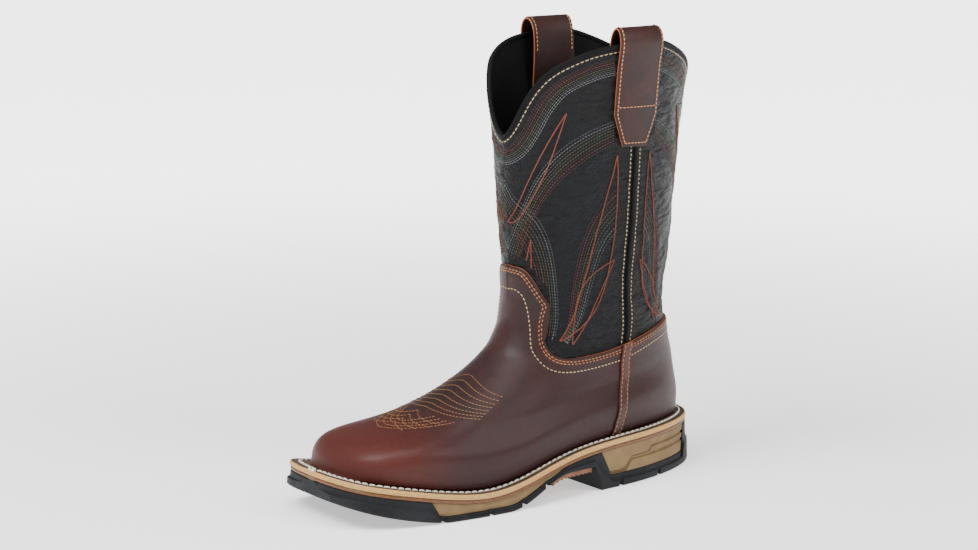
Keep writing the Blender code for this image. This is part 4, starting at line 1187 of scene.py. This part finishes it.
def sole_ways():
    """Stations: an even spread and every corner of the outsole's profile."""
    floor, mouth = NOTCH_WIDTH / 2, NOTCH_WIDTH / 2 + NOTCH_DRAFT
    notch = np.array(NOTCHES)[:, None] + np.array((-mouth, -floor, floor, mouth)) / SOLE_LENGTH
    corners = np.sort(np.concatenate([HEEL_POCKET, FOAM_POCKET, BREAST, FLAT, (ARCH_FRONT, HEEL_BEVEL_WAY),
                                      notch.ravel()]))
    corners = corners[np.concatenate([[True], np.diff(corners) > 0.0007])]
    even = spread(0, 1, 330)
    clear = np.abs(even[:, None] - corners).min(axis=1) > 0.0012
    return np.sort(np.concatenate([even[clear], corners]))


def lug_pattern(y, x):
    """Underside relief: chevron grooves and two long ones under forefoot and heel. Each fades
    in and out over a short way, and the tread's edge stays whole."""
    way = (SOLE_BACK - y) / SOLE_LENGTH
    medial, lateral = (edge[:, None] for edge in sole_edges(y[:, 0], 0))
    across = (x - medial) / (lateral - medial) * 2 - 1
    pace = (y + CHEVRON_SWEEP * np.abs(across)) / CHEVRON_PITCH
    chevron = np.clip(2.2 - np.abs((pace % 1) - 0.5) * 22, 0, 1)
    long_groove = np.clip(2.0 - np.abs(np.abs(across) - LONG_GROOVES) * 45, 0, 1)
    rim = np.clip((TREAD_EDGE - np.abs(across)) * 20, 0, 1)
    ball = np.clip((way - FOREFOOT_TREAD[0]) * 80, 0, 1) * np.clip((FOREFOOT_TREAD[1] - way) * 40, 0, 1)
    heel = np.clip((HEEL_TREAD_WAYS[1] - way) * 80, 0, 1) * np.clip((way - HEEL_TREAD_WAYS[0]) * 60, 0, 1)
    flats = ball + heel
    return TREAD_GROOVE * np.maximum(chevron, long_groove) * rim * flats


rubber, rubber_place = blank("outsole_rubber")
rough_cast = noise(rubber_place, 0.0016, 4.0, 0.7)
rubber_tone = mix(step(noise(rubber_place, 0.02, 3.0), 0.3, 0.7), paint("0f1114"), paint("1a1c20"))
finish(rubber, rubber_place, rubber_tone, 0.50 + 0.20 * rough_cast, rough_cast, 0.00055,
       {"Specular IOR Level": 0.22})
way = sole_ways()
y = sole_y(way)
foot, top = tread(way) + notch_depth(way), rubber_top(way)
wall = np.maximum(top - foot, 3.2 * LUG_BEVEL)
stand = FLARE + LUG_STAND - (LUG_STAND + 0.0010) * notch_depth(way) / NOTCH_DEPTH
outsole = layer("outsole_moulding", [
    (y, stand - LUG_BEVEL, foot), (y, stand - 0.3 * LUG_BEVEL, foot + 0.35 * LUG_BEVEL),
    (y, stand, foot + LUG_BEVEL), (y, stand - 0.0003, foot + 0.50 * wall), (y, 0.0003, foot + 0.62 * wall),
    (y, 0.0, top - 0.0005), (y, -0.0005, top)], [rubber], lug_pattern, 44, 28)
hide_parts("outsole")

# Forefoot foam and heel block: moulded tan foam with a fine woven texture, set into the
# outsole's pockets. Two curved grooves run along each side of the heel block.
FOAM_STEP = 0.0012
GROOVE_SUNK = 0.0014
GROOVES = (0.42, 0.70)
GROOVE_BAND = 0.07
GROOVE_STARTS = (0.86, 0.62)
GROOVE_EASE = 0.16
foam, foam_place = blank("sole_foam")
weave_pace = 2 * np.pi / 0.0016
lengthways = foam_place.node("SeparateXYZ", {}, {0: foam_place}, 1) * weave_pace
upwards = foam_place.node("SeparateXYZ", {}, {0: foam_place}, 2) * weave_pace
rising, falling = lengthways + upwards, lengthways - upwards
weave = rising.sum("SINE", rising, 0.0) * falling.sum("SINE", falling, 0.0)
foam_tone = mix(step(noise(foam_place, 0.010, 4.0), 0.2, 0.8), paint("745d3c"), paint("876d47"))
foam_tone = mix(step(weave, 0.2, 1.0) * 0.22, foam_tone, paint("59472c"))
finish(foam, foam_place, foam_tone, 0.78, weave * 0.6 + noise(foam_place, 0.0008) * 0.4, 0.00020)
foot_way = way[(way >= FOAM_POCKET[1]) & (way <= FOAM_POCKET[2])]
share = (foot_way - FOAM_POCKET[1]) / (FOAM_POCKET[2] - FOAM_POCKET[1])
top_way = FOAM_POCKET[0] + (FOAM_POCKET[3] - FOAM_POCKET[0]) * share
inset = GAP * (1 - 2 * share)
foot_y, top_y = sole_y(foot_way) - inset, sole_y(top_way) - inset
low, high = np.interp(foot_way, way, rubber_top(way)) + GAP, midsole_foot(top_y) - GAP
levels = [(foot_y + (top_y - foot_y) * rise, -FOAM_STEP + 0.0007 * np.sin(np.pi * rise),
           low + (high - low) * rise) for rise in (0, 0.15, 0.5, 0.85, 1)]
forefoot_foam = layer("forefoot_foam_block", levels, [foam])
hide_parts("forefoot_foam")

place = np.linspace(0, 1, 90)
shares, insets = [0 * place], [0]
for groove, start in zip(GROOVES, GROOVE_STARTS):
    line = groove * ease((start - place) / GROOVE_EASE) + 0.02
    for reach, depth in ((-GROOVE_BAND, 0), (-GROOVE_BAND / 3, GROOVE_SUNK), (GROOVE_BAND / 3, GROOVE_SUNK),
                         (GROOVE_BAND, 0)):
        shares.append(np.maximum(line + reach, shares[-1] + 0.010))
        insets.append(depth)
shares.append(np.ones_like(place))
insets.append(0)
levels = []
for rise, inset in zip(shares, insets):
    back_way = HEEL_POCKET[1] + (HEEL_POCKET[0] - HEEL_POCKET[1]) * rise
    front_way = HEEL_POCKET[2] + (HEEL_POCKET[3] - HEEL_POCKET[2]) * rise
    y = sole_y(back_way + (front_way - back_way) * place) - GAP * (1 - 2 * place)
    low, high = HEEL_TREAD + GAP, midsole_foot(y) - GAP
    levels.append((y, -FOAM_STEP + 0.0006 - inset, low + (high - low) * rise))
heel_block = layer("heel_block_foam", levels, [foam])
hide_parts("heel_block")

# Arch insert: a ribbed copper-coloured plate under the shank.
INSERT_WAYS = (0.382, 0.500)
INSERT_THICKNESS = 0.0040
RIB_PITCH = 0.0040
RIB_DEPTH = 0.0009
copper, copper_place = blank("insert_rubber")
copper_tone = mix(step(noise(copper_place, 0.006, 3.0), 0.3, 0.7), paint("6a3412"), paint("8a4c20"))
finish(copper, copper_place, copper_tone, 0.42, noise(copper_place, 0.0012, 3.0), 0.00015)
insert_way = np.linspace(*INSERT_WAYS, 150)
y = sole_y(insert_way)
top = np.interp(insert_way, way, tread(way) + notch_depth(way)) - GAP
ribs = RIB_DEPTH * (0.5 - 0.5 * np.cos(2 * np.pi * (y - y[0]) / RIB_PITCH))
arch_insert = layer("arch_insert_plate", [(y, -FOAM_STEP - 0.0004, top - INSERT_THICKNESS + ribs),
                                          (y, -FOAM_STEP, top - INSERT_THICKNESS + ribs + 0.0005),
                                          (y, -FOAM_STEP, top)], [copper])
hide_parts("arch_insert")
